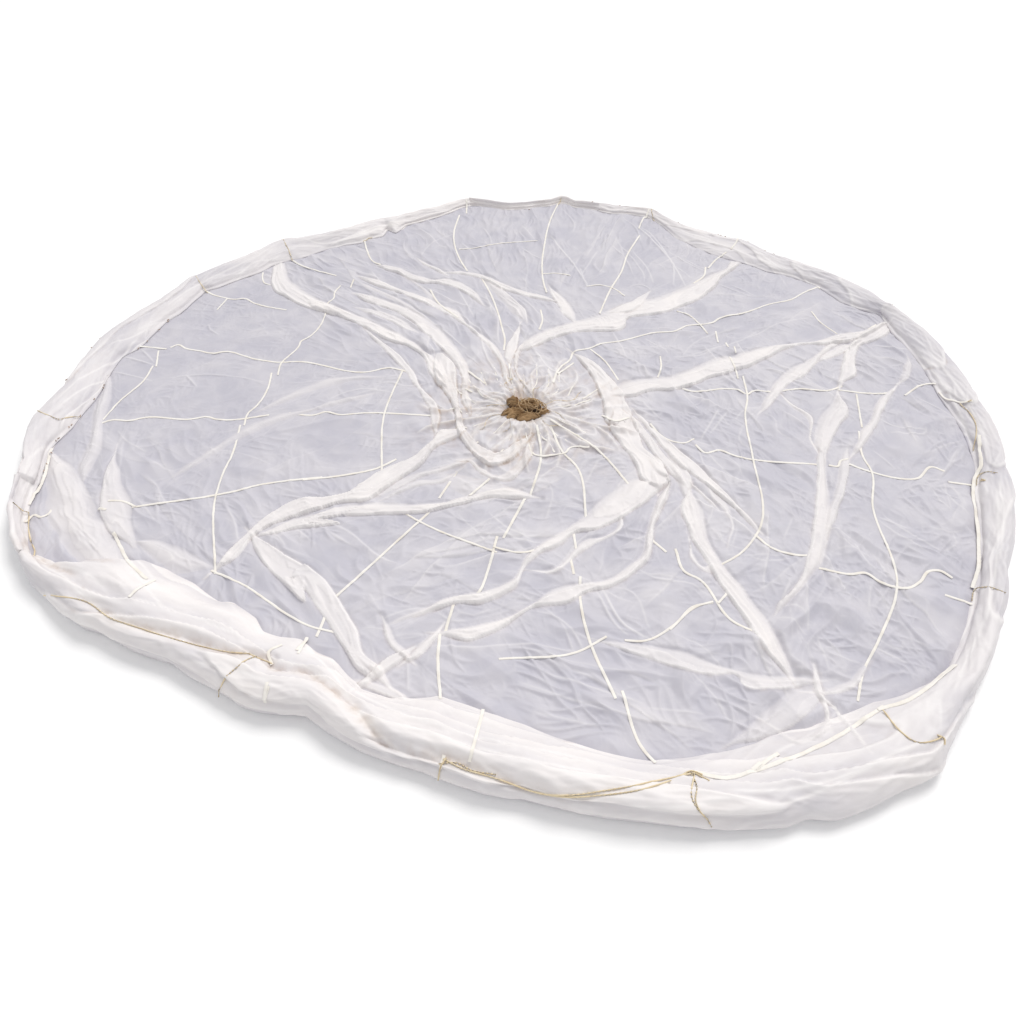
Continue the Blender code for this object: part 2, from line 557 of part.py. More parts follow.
def tape_section(point, side, half_width, bottom):
    """Four corners of a tape's section, its bottom level across."""
    left, right = point + side * half_width, point - side * half_width
    top = bottom + TAPE_THICKNESS
    return ((*right, bottom), (*left, bottom), (*left, top), (*right, top))


def build_seam_tape(index):
    resting = CLOTH_THICKNESS + TAPE_GAP
    return strip_solid([tape_section(station["point"], station["side"], TAPE_WIDTH / 2,
                                     station["height"] + station["lift"] + resting)
                        for station in seam(index)["stations"]])


def build_ring_tape(name):
    """Rides over each seam tape on a level pad, and lies on the cloth between them."""
    resting = CLOTH_THICKNESS + TAPE_GAP
    crossing = resting + TAPE_THICKNESS + TAPE_GAP
    has = [index for index in range(GORES) if name in seam(index)["pads"]]
    closed = len(has) == GORES
    start = 0 if closed else next(i for i in has if (i - 1) % GORES not in has)
    stations = []
    for number in range(len(has)):
        index = (start + number) % GORES
        line = seam(index)
        first, second = (line["stations"][line["pads"][name] + i] for i in (0, 1))
        for shift in (-STRIP_HALF_WIDTH, STRIP_HALF_WIDTH):
            stations.append({"point": (first["point"] + second["point"]) / 2 + first["side"] * shift,
                             "side": unit(first["point"] - second["point"]), "height": first["height"],
                             "above": crossing + max(first["lift"], second["lift"])})
        if closed or number < len(has) - 1:
            stations += [dict(station, above=resting) for station in RINGS[(name, index)]]
    add_lifts(stations, closed)
    return strip_solid([tape_section(station["point"], station["side"], TAPE_WIDTH / 2,
                                     station["height"] + station["above"] + station["lift"])
                        for station in stations], closed)


def build_skirt_tape(quarter):
    """A quarter of the skirt tape, with the suspension lines of its five seams."""
    columns = []
    first_gore = 5 * quarter - 1
    for gore in range(first_gore, first_gore + 6):
        if gore > first_gore:
            columns += [(gore, 0.0, shift) for shift in (LINE_WIDTH / 2, STRIP_HALF_WIDTH)]
            columns += [(gore, fraction, 0.0) for fraction in ROLL_FRACTIONS if gore < first_gore + 5 or fraction < 0.5]
        else:
            columns += [(gore, ROLL_FRACTIONS[-1], 0.0)]
        if gore < first_gore + 5:
            columns += [(gore, 1.0, shift) for shift in (-STRIP_HALF_WIDTH, -LINE_WIDTH / 2)]
        else:
            columns += [(gore, 0.5, 0.0)]
    points, faces, ids = [], [], []
    for gore, fraction, shift in columns:
        column = roll_column(gore, fraction)
        profile = roll_profile(column["width"], column["height"])
        lip, hem = profile[-2], profile[-1]
        width_share = (ROLL_LINE_START - SKIRT_TAPE_WIDTH) / 2 / ROLL_LINE_START
        inner, outer = hem + (lip - hem) * width_share, hem + (lip - hem) * (1 - width_share)
        normal = np.array((-(lip - hem)[1], (lip - hem)[0])) / math.hypot(*(lip - hem))
        corners = [base + normal * gap for base, gap in (
            (inner, TAPE_GAP), (outer, TAPE_GAP), (outer, TAPE_GAP + TAPE_THICKNESS), (inner, TAPE_GAP + TAPE_THICKNESS))]
        ids.append(list(range(len(points), len(points) + 4)))
        points += [tuple(p) for p in roll_points(column, corners, shift)]
    for here, there, column in zip(ids, ids[1:], columns):
        has_line = column[1] == 1.0 and column[2] == -LINE_WIDTH / 2
        for corner in range(4):
            a, b = here[corner], here[(corner + 1) % 4]
            c, d = there[(corner + 1) % 4], there[corner]
            if has_line and corner == 1:
                add_line(points, faces, (a, b, c, d), column[0] + 1)
            else:
                faces += [(a, d, b), (b, d, c)]
    start, end = ids[0], ids[-1]
    faces += [(start[0], start[1], start[2]), (start[0], start[2], start[3])]
    faces += [(end[0], end[2], end[1]), (end[0], end[3], end[2])]
    return points, faces


def add_line(points, faces, mouth, index):
    """Grow a suspension line out of the tape's side, over the roll and down to the floor."""
    column = roll_column(index, 0.0)
    profile = roll_profile(column["width"], column["height"])
    near, far = offset_profile(profile, TAPE_GAP), offset_profile(profile, TAPE_GAP + LINE_THICKNESS)
    levels = [(near[row], far[row]) for row in (4, 3, 2)]
    share = (profile[2][1] - LINE_END_HEIGHT) / (profile[2][1] - profile[1][1])
    levels.append((near[2] + (near[1] - near[2]) * share, far[2] + (far[1] - far[2]) * share))
    step = (near[4] - near[5]) * 0.3
    levels.insert(0, (near[5] + step, far[5] + step))
    previous = list(mouth)
    half = LINE_WIDTH / 2
    for low, high in levels:
        # mouth order: (before, low), (before, high), (after, high), (after, low)
        new = []
        for shift, corner in ((-half, low), (-half, high), (half, high), (half, low)):
            new.append(len(points))
            points.append(tuple(roll_points(column, [corner], shift)[0]))
        for i in range(4):
            a, b = previous[i], previous[(i + 1) % 4]
            c, d = new[(i + 1) % 4], new[i]
            faces += [(a, c, b), (a, d, c)]
        previous = new
    faces += [(previous[0], previous[2], previous[1]), (previous[0], previous[3], previous[2])]


# ---------------------------------------------------------------- the vent

BUNDLE_RADIUS = 0.0615       # at its fullest it meets the edge of the vent
BUNDLE_HEIGHT = 0.026
CORD_RADIUS = 0.0025
CORD_LOOP_RADIUS = 0.082
CORD_LOOP_HEIGHT = 0.0189


def build_bundle():
    """Gathered vent lines: a low knobbly lump with a flat base, its girth against the vent's edge."""
    sectors = GORES
    rings = ((0.75, 0.0, 0.0), (1.0, 0.55, 0.01), (0.82, 0.88, 0.10), (0.45, 1.0, 0.20))
    points, faces = [(0.0, 0.0, 0.0)], []
    for number, (reach, level, knob) in enumerate(rings):
        for sector in range(sectors):
            angle = 2 * math.pi * (sector + 0.5) / sectors
            radius = BUNDLE_RADIUS * reach * (1.0 - knob + knob * math.sin(3 * angle + number) * math.sin(5 * angle))
            rise = BUNDLE_HEIGHT * level * (1.0 + knob * math.sin(4 * angle + number))
            points.append((radius * math.cos(angle), radius * math.sin(angle), rise))
    top = len(points)
    points.append((0.0, 0.0, 0.8 * BUNDLE_HEIGHT))
    for sector in range(sectors):
        after = (sector + 1) % sectors
        faces.append((0, 1 + after, 1 + sector))
        for number in range(len(rings) - 1):
            a, b = 1 + number * sectors + sector, 1 + number * sectors + after
            faces += [(a, b, b + sectors), (a, b + sectors, a + sectors)]
        faces.append((top - sectors + sector, top - sectors + after, top))
    return points, faces


def build_vent_cord():
    """A loop of cord lying on the gathers round the bundle."""
    sections, around = 24, 5
    up = np.array((0.0, 0.0, 1.0))
    points, faces = [], []
    for section in range(sections):
        angle = 2 * math.pi * section / sections
        out = np.array((math.cos(angle), math.sin(angle), 0.0))
        wander = CORD_LOOP_RADIUS * (1.0 + 0.08 * math.sin(2 * angle + 0.4) + 0.03 * math.sin(5 * angle))
        for corner in range(around):
            turned = 2 * math.pi * corner / around
            offset = out * math.cos(turned) + up * math.sin(turned)
            points.append(tuple(out * wander + up * CORD_LOOP_HEIGHT + offset * CORD_RADIUS))
    for section in range(sections):
        after = (section + 1) % sections
        for corner in range(around):
            beside = (corner + 1) % around
            a, b = section * around + corner, section * around + beside
            c, d = after * around + beside, after * around + corner
            faces += [(a, c, b), (a, d, c)]
    return points, faces


# ---------------------------------------------------------------- scene objects

MATERIALS = {
    "canopy_cloth": ((0.80, 0.79, 0.82, 1.0), 0.7),
    "seam_tape": ((0.88, 0.85, 0.78, 1.0), 0.75),
    "suspension_line": ((0.62, 0.52, 0.36, 1.0), 0.8),
    "vent_gather": ((0.33, 0.23, 0.14, 1.0), 0.9),
}


def make_material(name):
    colour, roughness = MATERIALS[name]
    material = bpy.data.materials.new(name)
    material.use_nodes = True
    shader = material.node_tree.nodes["Principled BSDF"]
    shader.inputs["Base Color"].default_value = colour
    shader.inputs["Roughness"].default_value = roughness
    shader.inputs["Metallic"].default_value = 0.0
    return material


def add_object(name, geometry, material, centre):
    points, faces = geometry
    mesh = bpy.data.meshes.new(name)
    mesh.from_pydata([(x - centre[0], y - centre[1], z) for x, y, z in points], [], faces)
    mesh.materials.append(material)
    shape = bmesh.new()
    shape.from_mesh(mesh)
    bmesh.ops.recalc_face_normals(shape, faces=shape.faces)
    shape.to_mesh(mesh)
    shape.free()
    bpy.context.scene.collection.objects.link(bpy.data.objects.new(name, mesh))


def main():
    for item in list(bpy.data.objects):
        bpy.data.objects.remove(item, do_unlink=True)
    pieces = [(f"gore_{gore + 1:02d}", build_gore(gore), "canopy_cloth") for gore in range(GORES)]
    pieces += [(f"seam_tape_{index + 1:02d}", build_seam_tape(index), "seam_tape") for index in range(GORES)]
    pieces += [(f"ring_tape_{name[-1]}", build_ring_tape(name), "seam_tape") for name in RING_NAMES]
    pieces += [(f"skirt_tape_{quarter + 1}", build_skirt_tape(quarter), "suspension_line") for quarter in range(4)]
    pieces.append(("vent_bundle", build_bundle(), "vent_gather"))
    pieces.append(("vent_cord", build_vent_cord(), "suspension_line"))

    corners = np.array([point for _, (points, _), _ in pieces for point in points])
    low, high = corners.min(axis=0), corners.max(axis=0)
    centre = (low + high) / 2
    materials = {name: make_material(name) for name in MATERIALS}
    for name, geometry, material in pieces:
        add_object(name, geometry, materials[material], centre)


main()
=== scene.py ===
import json
import math
import bpy
import numpy as np
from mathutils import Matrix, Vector


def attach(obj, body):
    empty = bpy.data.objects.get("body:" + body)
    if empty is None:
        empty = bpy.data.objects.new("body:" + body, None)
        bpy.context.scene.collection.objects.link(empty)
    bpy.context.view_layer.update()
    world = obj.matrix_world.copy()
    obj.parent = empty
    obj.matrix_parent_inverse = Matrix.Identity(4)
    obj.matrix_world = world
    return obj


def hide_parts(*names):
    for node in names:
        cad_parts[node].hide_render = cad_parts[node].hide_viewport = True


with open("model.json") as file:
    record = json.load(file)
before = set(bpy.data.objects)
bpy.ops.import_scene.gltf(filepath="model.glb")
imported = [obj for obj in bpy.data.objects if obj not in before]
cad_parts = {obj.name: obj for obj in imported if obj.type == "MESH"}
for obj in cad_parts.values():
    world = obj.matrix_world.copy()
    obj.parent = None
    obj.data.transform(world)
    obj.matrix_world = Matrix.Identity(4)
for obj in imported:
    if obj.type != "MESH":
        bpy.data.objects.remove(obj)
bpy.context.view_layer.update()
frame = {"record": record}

fullTurn = 2.0 * math.pi
apex = np.array(frame["record"]["mounts"][0]["pos_m"][:2])   # middle of the vent, zero of all the tables

# camera, at a standing eye's height

view = {"x": -0.060, "y": -2.0735, "height": 1.65, "pitchDown": 46.4, "lens": 24.75}
eye = np.array((view["x"], view["y"]))


def makeCamera():
    data = bpy.data.cameras.new("camera")
    data.lens = view["lens"]
    data.sensor_width = 36.0
    camera = bpy.data.objects.new("camera", data)
    camera.location = (view["x"] + apex[0], view["y"] + apex[1], view["height"])
    camera.rotation_euler = (math.radians(90.0 - view["pitchDown"]), 0.0, 0.0)
    bpy.context.scene.collection.objects.link(camera)
    bpy.context.scene.camera = camera


makeCamera()

# where everything lies, x to the right and y away from the viewer, each point as it falls on the floor
# when seen from the camera. A text holds millimetres: a line's first point from the vent, then the step from
# each point to the next; " / " starts a new line

goreCount = 20
# each seam where it crosses rings 1 to 4 (the four front ones miss ring 4), the hem and the outer edge
seamRoutes = """
    260,60 260,100 340,-20 420,-10 320,-30 100,-20 /
    200,160 300,140 360,90 410,90 260,150 90,50 /
    140,230 300,250 330,125 450,215 140,90 90,70 /
    100,270 240,240 310,280 250,320 100,120 100,135 /
    50,295 180,255 190,380 140,370 95,310 50,100 /
    0,300 80,320 35,440 20,340 70,350 25,115 /
    -60,300 -40,330 -170,470 -65,230 15,340 25,170 /
    -120,275 -100,305 -350,490 -150,140 -50,170 -20,165 /
    -175,240 -155,260 -460,470 -210,110 -100,90 -100,160 /
    -220,190 -200,210 -480,290 -450,130 -100,70 -80,60 /
    -260,120 -230,130 -490,70 -510,100 -110,0 -170,-40 /
    -280,0 -250,-10 -500,-30 -480,-10 -90,20 -190,-20 /
    -250,-110 -250,-190 -530,-120 -270,-60 -150,0 -215,-50 /
    -180,-200 -280,-240 -485,-310 -115,-60 -180,-160 /
    -90,-250 -260,-310 -240,-400 -55,-85 -75,-180 /
    20,-260 -120,-420 -150,-340 80,-200 -30,-195 /
    100,-240 80,-290 -15,-490 190,-350 45,-135 /
    165,-200 180,-200 195,-470 280,-290 70,-45 110,-115 /
    220,-140 220,-140 290,-320 360,-220 185,-40 95,-30 /
    260,-50 260,-100 270,-95 390,-75 320,-50 100,10"""
# the roll's height in metres at the outer end of each seam
seamRoll = np.array((0.05, 0.05, 0.045, 0.035, 0.03, 0.03, 0.035, 0.045, 0.045, 0.05, 0.055, 0.06, 0.07, 0.08,
                     0.08, 0.08, 0.075, 0.07, 0.06, 0.055))

# the rolled skirt: its outer foot and its inner edge, all the way round
rimEdge = """1730,80 10,120 0,180 -20,170 -37,117 -35,70 -43,130 -70,86 -52,70 -86,78 -96,104 -69,52 -52,86
    -43,61 -70,26 -104,69 -78,61 -52,52 -60,78 -52,74 -104,21 -217,61 -93,17 -34,44 -35,17 -69,-43 -139,-35
    -87,-9 -52,9 -182,56 -26,-13 -130,-95 -78,-48 -69,-47 -75,-35 -165,-87 -61,-52 -52,-34 -86,-39 -70,-22
    -60,-26 -52,-17 -44,-44 -52,-78 -52,-60 -86,-78 -52,-61 -70,-95 -26,-78 -43,-104 -26,-39 -69,-130
    -35,-78 -13,-43 -9,-338 -8,-87 -18,-121 9,-61 48,-139 26,-53 39,-156 21,-69 35,-61 43,-69 61,-78 69,-78
    78,-52 130,-96 61,-17 104,-56 130,-44 69,-43 70,-35 52,-30 23,-17 52,-18 61,-8 69,-2 69,-50 78,-44
    44,-17 112,-35 148,-56 86,-13 87,-22 191,-28 240,-11 78,5 52,21 69,-4 95,30 78,35 61,22 43,21 130,156
    104,104 52,61 52,78 52,69 44,70 34,78 80,121 37,69 65,139 21,61 16,69 35,80 27,100"""
hemEdge = """1600,0 0,100 10,260 -25,190 2,143 -69,44 -69,60 -70,148 -121,104 -78,34 -43,44 -52,43 -78,43
    -52,44 -52,52 -104,121 -52,147 -35,70 -35,34 -104,39 -69,0 -52,22 -52,43 -23,13 -87,31 -52,43 -69,-39
    -139,-30 -87,-9 -69,9 -69,17 -70,9 -52,-26 -60,-61 -70,-61 -78,-52 -78,-43 -49,-95 -46,43 -15,-78
    -60,-26 -35,-43 -173,-78 -113,-96 -35,-8 -86,-61 -44,-69 -121,-104 -43,-44 -48,-26 -4,-34 -26,-78 -9,-39
    -17,-48 -35,-65 -35,-164 -13,-44 -43,-60 -4,-104 8,-78 0,-96 -17,-173 -26,-104 35,-166 17,-104 35,-104
    39,-87 56,-47 95,-39 122,17 112,9 87,-35 95,-56 96,-65 43,-5 78,-56 32,-43 52,-18 61,-8 52,-44 43,-17
    95,-95 87,-26 121,8 148,-52 78,-34 95,-35 199,-52 119,13 104,17 139,48 164,43 78,35 78,17 104,44 52,34
    148,200 95,156 61,130 26,60 47,130 57,113 42,180"""

# edges of the rolled layers: whiteness, side of the line that the layer lies on (1 outward, -1 inward), lines
rollLayers = (
    (1, 1, """-1467,-465 226,-216 182,-200 60,-43 / -750,-1045 52,-18 78,-8 139,-96 104,-112 424,-148 70,-4
    86,13 / 400,-1414 182,-4 182,43 104,44 139,43"""),
    (1, -1, "-663,-1019 52,-9 60,-52 113,-139 69,-60"),
    (0.95, 1, """-1207,-855 52,-8 408,-139 / -533,-1080 69,-61 104,-60 607,-165 / -360,-1245 390,-112
    173,-26"""),
    (0.9, 1, """-1605,-560 39,-87 56,-47 208,-100 26,-35 / -1293,-621 112,-95 61,-69 52,-96 / -1380,-733
    104,-70 69,-60 / -360,-1336 43,-17 52,13 35,-43 87,-18 / 30,-1444 347,-9 86,18 87,0 / 325,-1474 86,-5
    139,18 / 443,-1470 113,17 329,122 / 1587,-369 -86,-191 -174,-312 -268,-329 / 1605,-335 -87,-216
    -121,-217 / -1649,317 -86,-191 -35,-156 / -1714,-30 -21,-173 86,-304 / 1640,500 15,-150 0,-150 -25,-300
    -30,-150 / 1680,450 10,-150 -5,-200 -20,-200 -25,-120"""),
    (0.85, 1, """-1051,-1045 226,-48 138,-48 87,-43 / -1536,-673 69,-60 87,-52 87,-70 225,-138 / 521,-1366
    130,78 61,17 95,44 / 1457,-551 -34,-139 -52,-95"""),
    (0.8, 1, """1067,-1132 -69,-165 / 1267,-785 -200,-269 -26,-61 / -1553,707 -52,-44 -35,-86 -43,-70
    -44,-43 -26,-61 / -1640,577 -43,-174 -61,-173 -43,-208 / -1475,867 -78,-130 -26,-70 / -1163,1395 173,0
    199,113 87,113"""),
    (0.8, -1, "1232,-811 -69,-113 -122,-165 -52,-43"),
    (0.75, 1, """-1458,919 78,112 69,139 87,61 43,78 / -1614,737 78,190 243,304 / -1207,1291 87,52 173,44
    87,43 / 1397,971 130,-234"""),
    (0.7, 1, """-1432,997 69,86 44,87 8,35 / -903,1343 43,70 78,52 / -799,1395 60,70 52,112 / 721,1655
    251,-268 208,-182 208,-260 / 1137,1387 69,-174 61,-95 69,-69 35,-52"""),
    (0.6, 1, "1111,1413 43,-87 43,-139 35,-43 / -611,1586 147,69 61,44 86,112 18,70"),
    (0.5, -1, "-603,1577 234,113 139,35 139,52 164,78 96,26"),
    (0.4, -1, "-317,1508 52,52 139,78 243,182"),
)

grooveLines = """-1397,-855 52,0 52,-17 34,-17 52,-31 61,-30 78,-26 69,-17 87,-26 87,-26 60,-13 61,-13 6,-22
    78,-9 69,-39 70,-52 52,-52 52,-52 95,-34 69,-13 70,-26 52,-18 69,-26 69,-17 70,-4 86,13 87,17 /
    -1614,-551 17,-52 26,-52 57,-48 95,-48 108,-52"""

# folds lying on the cloth: kind of each edge (c a crisp tuck, s a soft shoulder), whiteness, height,
# level in the pile, first edge, second edge
plies = {
    "leftSweepFar": ("sc", 0.9, 0.014, 1, """-1176,1213 91,-225 86,-100 252,-186 / -1211,1213 17,-164
    31,-122 95,-99 217,-139"""),
    "leftSweep": ("sc", 1, 0.018, 2, """-877,797 335,-251 95,-86 44,-50 65,-111 39,-104 / -990,784 240,-140
    95,-80 104,-78 52,-26 48,-44 35,-39 47,-134 52,-100"""),
    "leftSweepLower": ("cc", 1, 0.02, 2, """-299,369 17,-70 30,-242 46,-182 28,-44 74,-59 91,85 / -382,343
    46,-148 58,-130 41,-199 76,-117 46,-35 50,24 82,106"""),
    "leftBranch": ("cc", 0.85, 0.012, 1, """-656,551 205,-276 49,-123 75,-121 10,-52 -2,-78 / -668,542
    195,-282 111,-238 26,-134"""),
    "secondSweep": ("sc", 0.95, 0.014, 1, """-750,888 191,-108 60,-43 83,-82 130,-208 69,-178 3,-152 19,-86
    / -750,830 195,-119 143,-178 91,-134 67,-147 11,-65 -3,-78 21,-96"""),
    "secondSweepInner": ("sc", 0.7, 0.008, 0, """-698,750 121,-65 113,-104 / -733,724 70,-26 60,-39
    122,-108"""),
    "thirdSweep": ("sc", 1, 0.015, 1, """-750,1042 61,-32 69,-57 217,-145 52,-50 23,-8 91,-137 95,-121
    58,-130 38,-210 / -750,992 329,-214 103,-96 205,-305 48,-216"""),
    "betweenSweeps": ("ss", 0.6, 0.007, 0, "-750,971 217,-174 130,-147 / -750,945 191,-165 121,-130"),
    "fourthSweep": ("sc", 0.85, 0.016, 1, """-698,1157 61,-17 164,-109 70,-24 34,7 52,-13 87,-87 56,-108 /
    -698,1127 95,-52 148,-100 52,-4 121,-65 39,-39 48,-83"""),
    "fifthSweepStart": ("sc", 0.8, 0.01, 0, "-494,1198 125,-119 / -503,1187 126,-138"),
    "fifthSweep": ("sc", 0.9, 0.013, 1, """-369,1083 113,-7 61,-17 138,-114 208,-122 / -360,1066 104,-19
    82,-42 83,-86 238,-123"""),
    "sixthSweep": ("cs", 0.7, 0.009, 0, "-174,1018 87,-112 52,-87 43,-82 22,-87 / -195,1010 173,-360"),
    "farLittleFold": ("sc", 1, 0.01, 0, "143,923 62,-126 42,-138 / 127,910 66,-251"),
    "longDiagonal": ("ss", 0.6, 0.006, 0, "-598,1083 195,-234 34,-60 / -607,1075 126,-156 91,-139"),
    "upperRightBand": ("sc", 1, 0.018, 1, """0,480 56,60 61,44 208,104 179,118 69,17 156,91 165,135 104,69
    43,78 22,0 / -13,386 43,42 173,117 243,58 6,47 147,52 148,82 104,91 43,52 61,104 112,113"""),
    "upperRightTuck": ("cc", 0.8, 0.01, 2, "400,744 52,27 78,61 35,39 / 435,702 43,13 100,141"),
    "ventTail": ("cc", 0.9, 0.01, 1, "0,480 -26,-59 -13,-122 13,-69 54,-117 / -13,386 -16,-87 59,-199"),
    "ventSpike": ("cc", 0.95, 0.009, 2, "-13,596 -11,-141 -20,-112 / -15,592 -52,-154 -9,-61 12,-60"),
    "apexRightFold": ("cc", 0.95, 0.018, 1, """208,399 47,-39 109,-199 43,-217 / 203,390 65,-143 20,-86
    11,-78 0,-130 13,-52"""),
    "ventHump": ("cc", 1, 0.02, 1, """411,-4 13,-199 52,-87 9,-52 -11,-43 -24,-31 / 300,-30 38,-139 43,-104
    13,-86 26,-44"""),
    "humpSecond": ("cc", 0.85, 0.014, 2, "400,-13 143,-355 / 400,-65 65,-199 56,-121"),
    "rightBand": ("sc", 1, 0.02, 1, """351,187 101,33 121,14 70,31 121,78 121,50 208,67 139,21 139,61 69,13
    61,30 104,74 / 385,78 102,61 117,16 56,23 104,59 121,54 278,163 104,10 173,45 121,85 52,48"""),
    "rightKnotFold": ("sc", 0.9, 0.013, 1, """1301,486 -156,-159 -52,-28 -47,-41 -161,-227 / 1345,473
    -109,-91 -124,-145 -49,-35 -165,-197"""),
    "rightKnotSecond": ("sc", 0.85, 0.012, 1, "1423,499 -200,-122 -34,-39 / 1440,490 -61,-56 -182,-109"),
    "rightFan": ("cc", 0.9, 0.016, 1, """1600,646 -195,-156 -36,-45 -150,-302 / 1613,637 -30,-73 -65,-57
    -108,-60 -39,-61 -65,-165 -39,-26 -39,-52"""),
    "firstPuff": ("sc", 0.8, 0.014, 0, """1216,133 -49,-81 -43,-47 -83,-152 -15,-56 11,-44 / 1219,130
    -17,-151 -39,-39 -111,-187"""),
    "secondPuff": ("sc", 0.9, 0.015, 1, """1475,187 -139,-130 -78,-126 -39,-39 -26,-52 -56,-74 / 1476,182
    -112,-144 -76,-120 -130,-156"""),
    "thirdPuff": ("sc", 0.6, 0.009, 0, "1475,187 91,164 / 1477,182 41,31 30,43 22,43 7,44"),
    "narrowRidge": ("cs", 0.9, 0.008, 1, """998,96 13,-39 55,-77 -39,-140 6,-61 / 993,87 9,-43 44,-70 0,-30
    -29,-104 5,-61"""),
    "firstLowerBand": ("sc", 1, 0.02, 2, """416,-374 -29,18 -106,-65 -147,-156 -137,-113 -45,-95 -35,-26
    -169,-48 -52,-30 / 474,-382 -210,-178 -35,-19 -78,-20 -52,-48 -69,-41 -28,-28 -50,-100 -43,-34 -52,-22
    -70,0 -78,-43"""),
    "firstBandFoot": ("ss", 0.7, 0.008, 1, "-304,-889 -91,-52 / -291,-915 -91,-35"),
    "middleLowerFold": ("sc", 0.85, 0.01, 1, """290,-530 -17,-56 -44,-35 -43,-8 -121,-122 -52,-4 / 307,-527
    -4,-42 -39,-43 -61,-35 -86,-78 -48,-33 -65,0"""),
    "secondLowerBand": ("sc", 1, 0.018, 2, """448,-421 -80,-191 -10,-52 -146,-130 -113,-17 -138,-96 -52,-26
    -156,-34 / 481,-413 -78,-164 -52,-148 -52,-47 -52,-39 -87,-26 -43,-31 -100,-21 -143,-96 -35,-13
    -95,13"""),
    "leftLowerBand": ("cc", 1, 0.02, 2, """-278,-82 -39,-28 -17,-50 -42,-59 -45,-45 -78,-52 -99,-104
    -175,-45 -61,-56 -95,-169 -22,-61 / -237,-151 -88,-39 -33,-74 -96,-113 -88,-79 -61,-9 -147,-68 81,42
    -191,-114 -43,-102 -44,-52"""),
    "leftLowerSecond": ("sc", 1, 0.018, 3, """8,-424 -39,20 -164,-33 -70,-26 -312,-18 -173,-56 46,29
    -113,-78 / 4,-456 -113,12 -190,-59 -338,-31 -78,-16 115,-10 -147,-26 -104,-33"""),
    "apexLowFold": ("cs", 0.85, 0.012, 1, """-230,-281 22,8 47,-50 52,-31 52,-12 35,41 35,70 17,60 /
    -195,-255 108,-85 23,15 33,54 44,102"""),
    "softBelowVent": ("sc", 0.6, 0.009, 0, """-195,-247 -70,-43 -147,-61 -69,-60 / -208,-277 -195,-100
    -61,-52"""),
    "softBelowVentTwo": ("sc", 0.55, 0.009, 0, """-230,-304 -35,-39 -138,-35 -61,-52 / -239,-335 -30,-30
    -126,-39 -52,-39"""),
    "veilLeftOfSecond": ("sc", 0.5, 0.007, 0, """-22,-421 -121,60 -44,9 -56,35 / -22,-456 -69,4 -61,-13
    -130,70"""),
    "lowerLeftDiagonal": ("cc", 0.82, 0.014, 0, """-869,-608 182,-125 -63,39 52,-26 208,-247 35,-78 78,-52 /
    -877,-612 26,-52 69,-87 130,-112 -46,78 61,-70 190,-268"""),
    "lowerRightFold": ("sc", 0.7, 0.01, 0, """195,-998 216,-39 139,-62 197,-14 / 203,-1011 278,-95 69,-9
    6,-17 95,-17 87,8"""),
    "longLowerBand": ("sc", 1, 0.018, 2, """547,-404 24,-121 -5,-61 122,-407 17,-117 / 543,-408 -30,-57
    -2,-121 58,-217 101,-301"""),
    "longBandSide": ("sc", 0.8, 0.008, 1, "504,-638 4,-61 22,-43 22,9 / 502,-647 0,-60 28,-53"),
    "shortPleatOne": ("sc", 0.8, 0.008, 1, "552,-404 47,-74 / 569,-400 39,-69"),
    "shortPleatTwo": ("cs", 0.6, 0.008, 1, """604,-404 13,-52 30,-61 4,-52 -24,-60 / 621,-404 30,-69 7,-52
    -1,-52 -23,-57"""),
    "middleBack": ("cc", 0.8, 0.012, 2, "426,-300 56,-69 -47,-78 -18,-61 / 482,-300 1,-78 -59,-147"),
    "rightPanelEdge": ("ss", 0.5, 0.006, 0, "885,-603 -10,-208 / 898,-603 -16,-208"),
    "lowerRightCrumple": ("cc", 0.9, 0.014, 2, "747,-1115 -5,-43 13,-43 -8,-35 / 764,-1119 -10,-121"),
    "lowerRightCrumpleTwo": ("cc", 0.85, 0.014, 2, "760,-1197 21,-22 35,-69 / 773,-1197 34,-91"),
    "crumpleArm": ("sc", 0.7, 0.01, 1, """885,-1084 -43,-39 -35,-18 -43,-17 -30,4 / 894,-1097 -43,-39
    -83,-31 -30,0"""),
    "lowerLeftOfCrumple": ("sc", 0.55, 0.01, 0, """747,-1132 -44,-9 -43,-26 -156,-112 / 742,-1197 -91,-56
    -156,-57"""),
    "underCrumple": ("sc", 0.6, 0.008, 0, "608,-1249 52,-39 87,61 / 599,-1262 52,-39 61,22 43,34"),
    "leftFlapInner": ("ss", 0.55, 0.013, 1, """-1662,265 48,-96 26,-78 26,-138 52,-148 17,-147 / -1666,230
    43,-225 44,-122 17,-86 4,-87 39,-78"""),
    "leftFlapSecond": ("sc", 0.75, 0.014, 1, """-1449,-212 21,-61 31,-43 26,-61 78,-112 17,-61 69,-88 /
    -1454,-221 5,-69 34,-147 52,-113 87,-88"""),
    "bigLeftFlap": ("ss", 0.8, 0.018, 1, """-1722,-151 30,-52 113,-87 60,-65 104,-126 35,-60 43,-19 44,-61
    242,-268 / -1727,-156 25,-73 105,-208 26,-70 104,-122 174,-174"""),
    "shallowLeft": ("sc", 0.45, 0.009, 0, "-600,239 -173,-26 -252,-217 / -600,195 -61,0 -78,-26 -277,-186"),
    "shallowLeftLong": ("sc", 0.45, 0.01, 0, """-600,122 -147,-61 -87,-48 -69,-17 -78,-43 -139,-165 -87,-121
    / -600,91 -139,-60 -234,-139 -216,-243"""),
    "smallFlapLeft": ("ss", 0.6, 0.009, 1, "-1207,-634 44,0 60,-21 122,-61 / -1233,-647 208,-121 52,4"),
    "frontLoop": ("sc", 0.9, 0.015, 2, "-272,-969 -67,-84 / -252,-976 -44,-64 -29,-24"),
    "frontLoopLeft": ("cs", 0.8, 0.011, 2, "-414,-956 30,-61 47,-44 / -397,-956 22,-44 43,-44"),
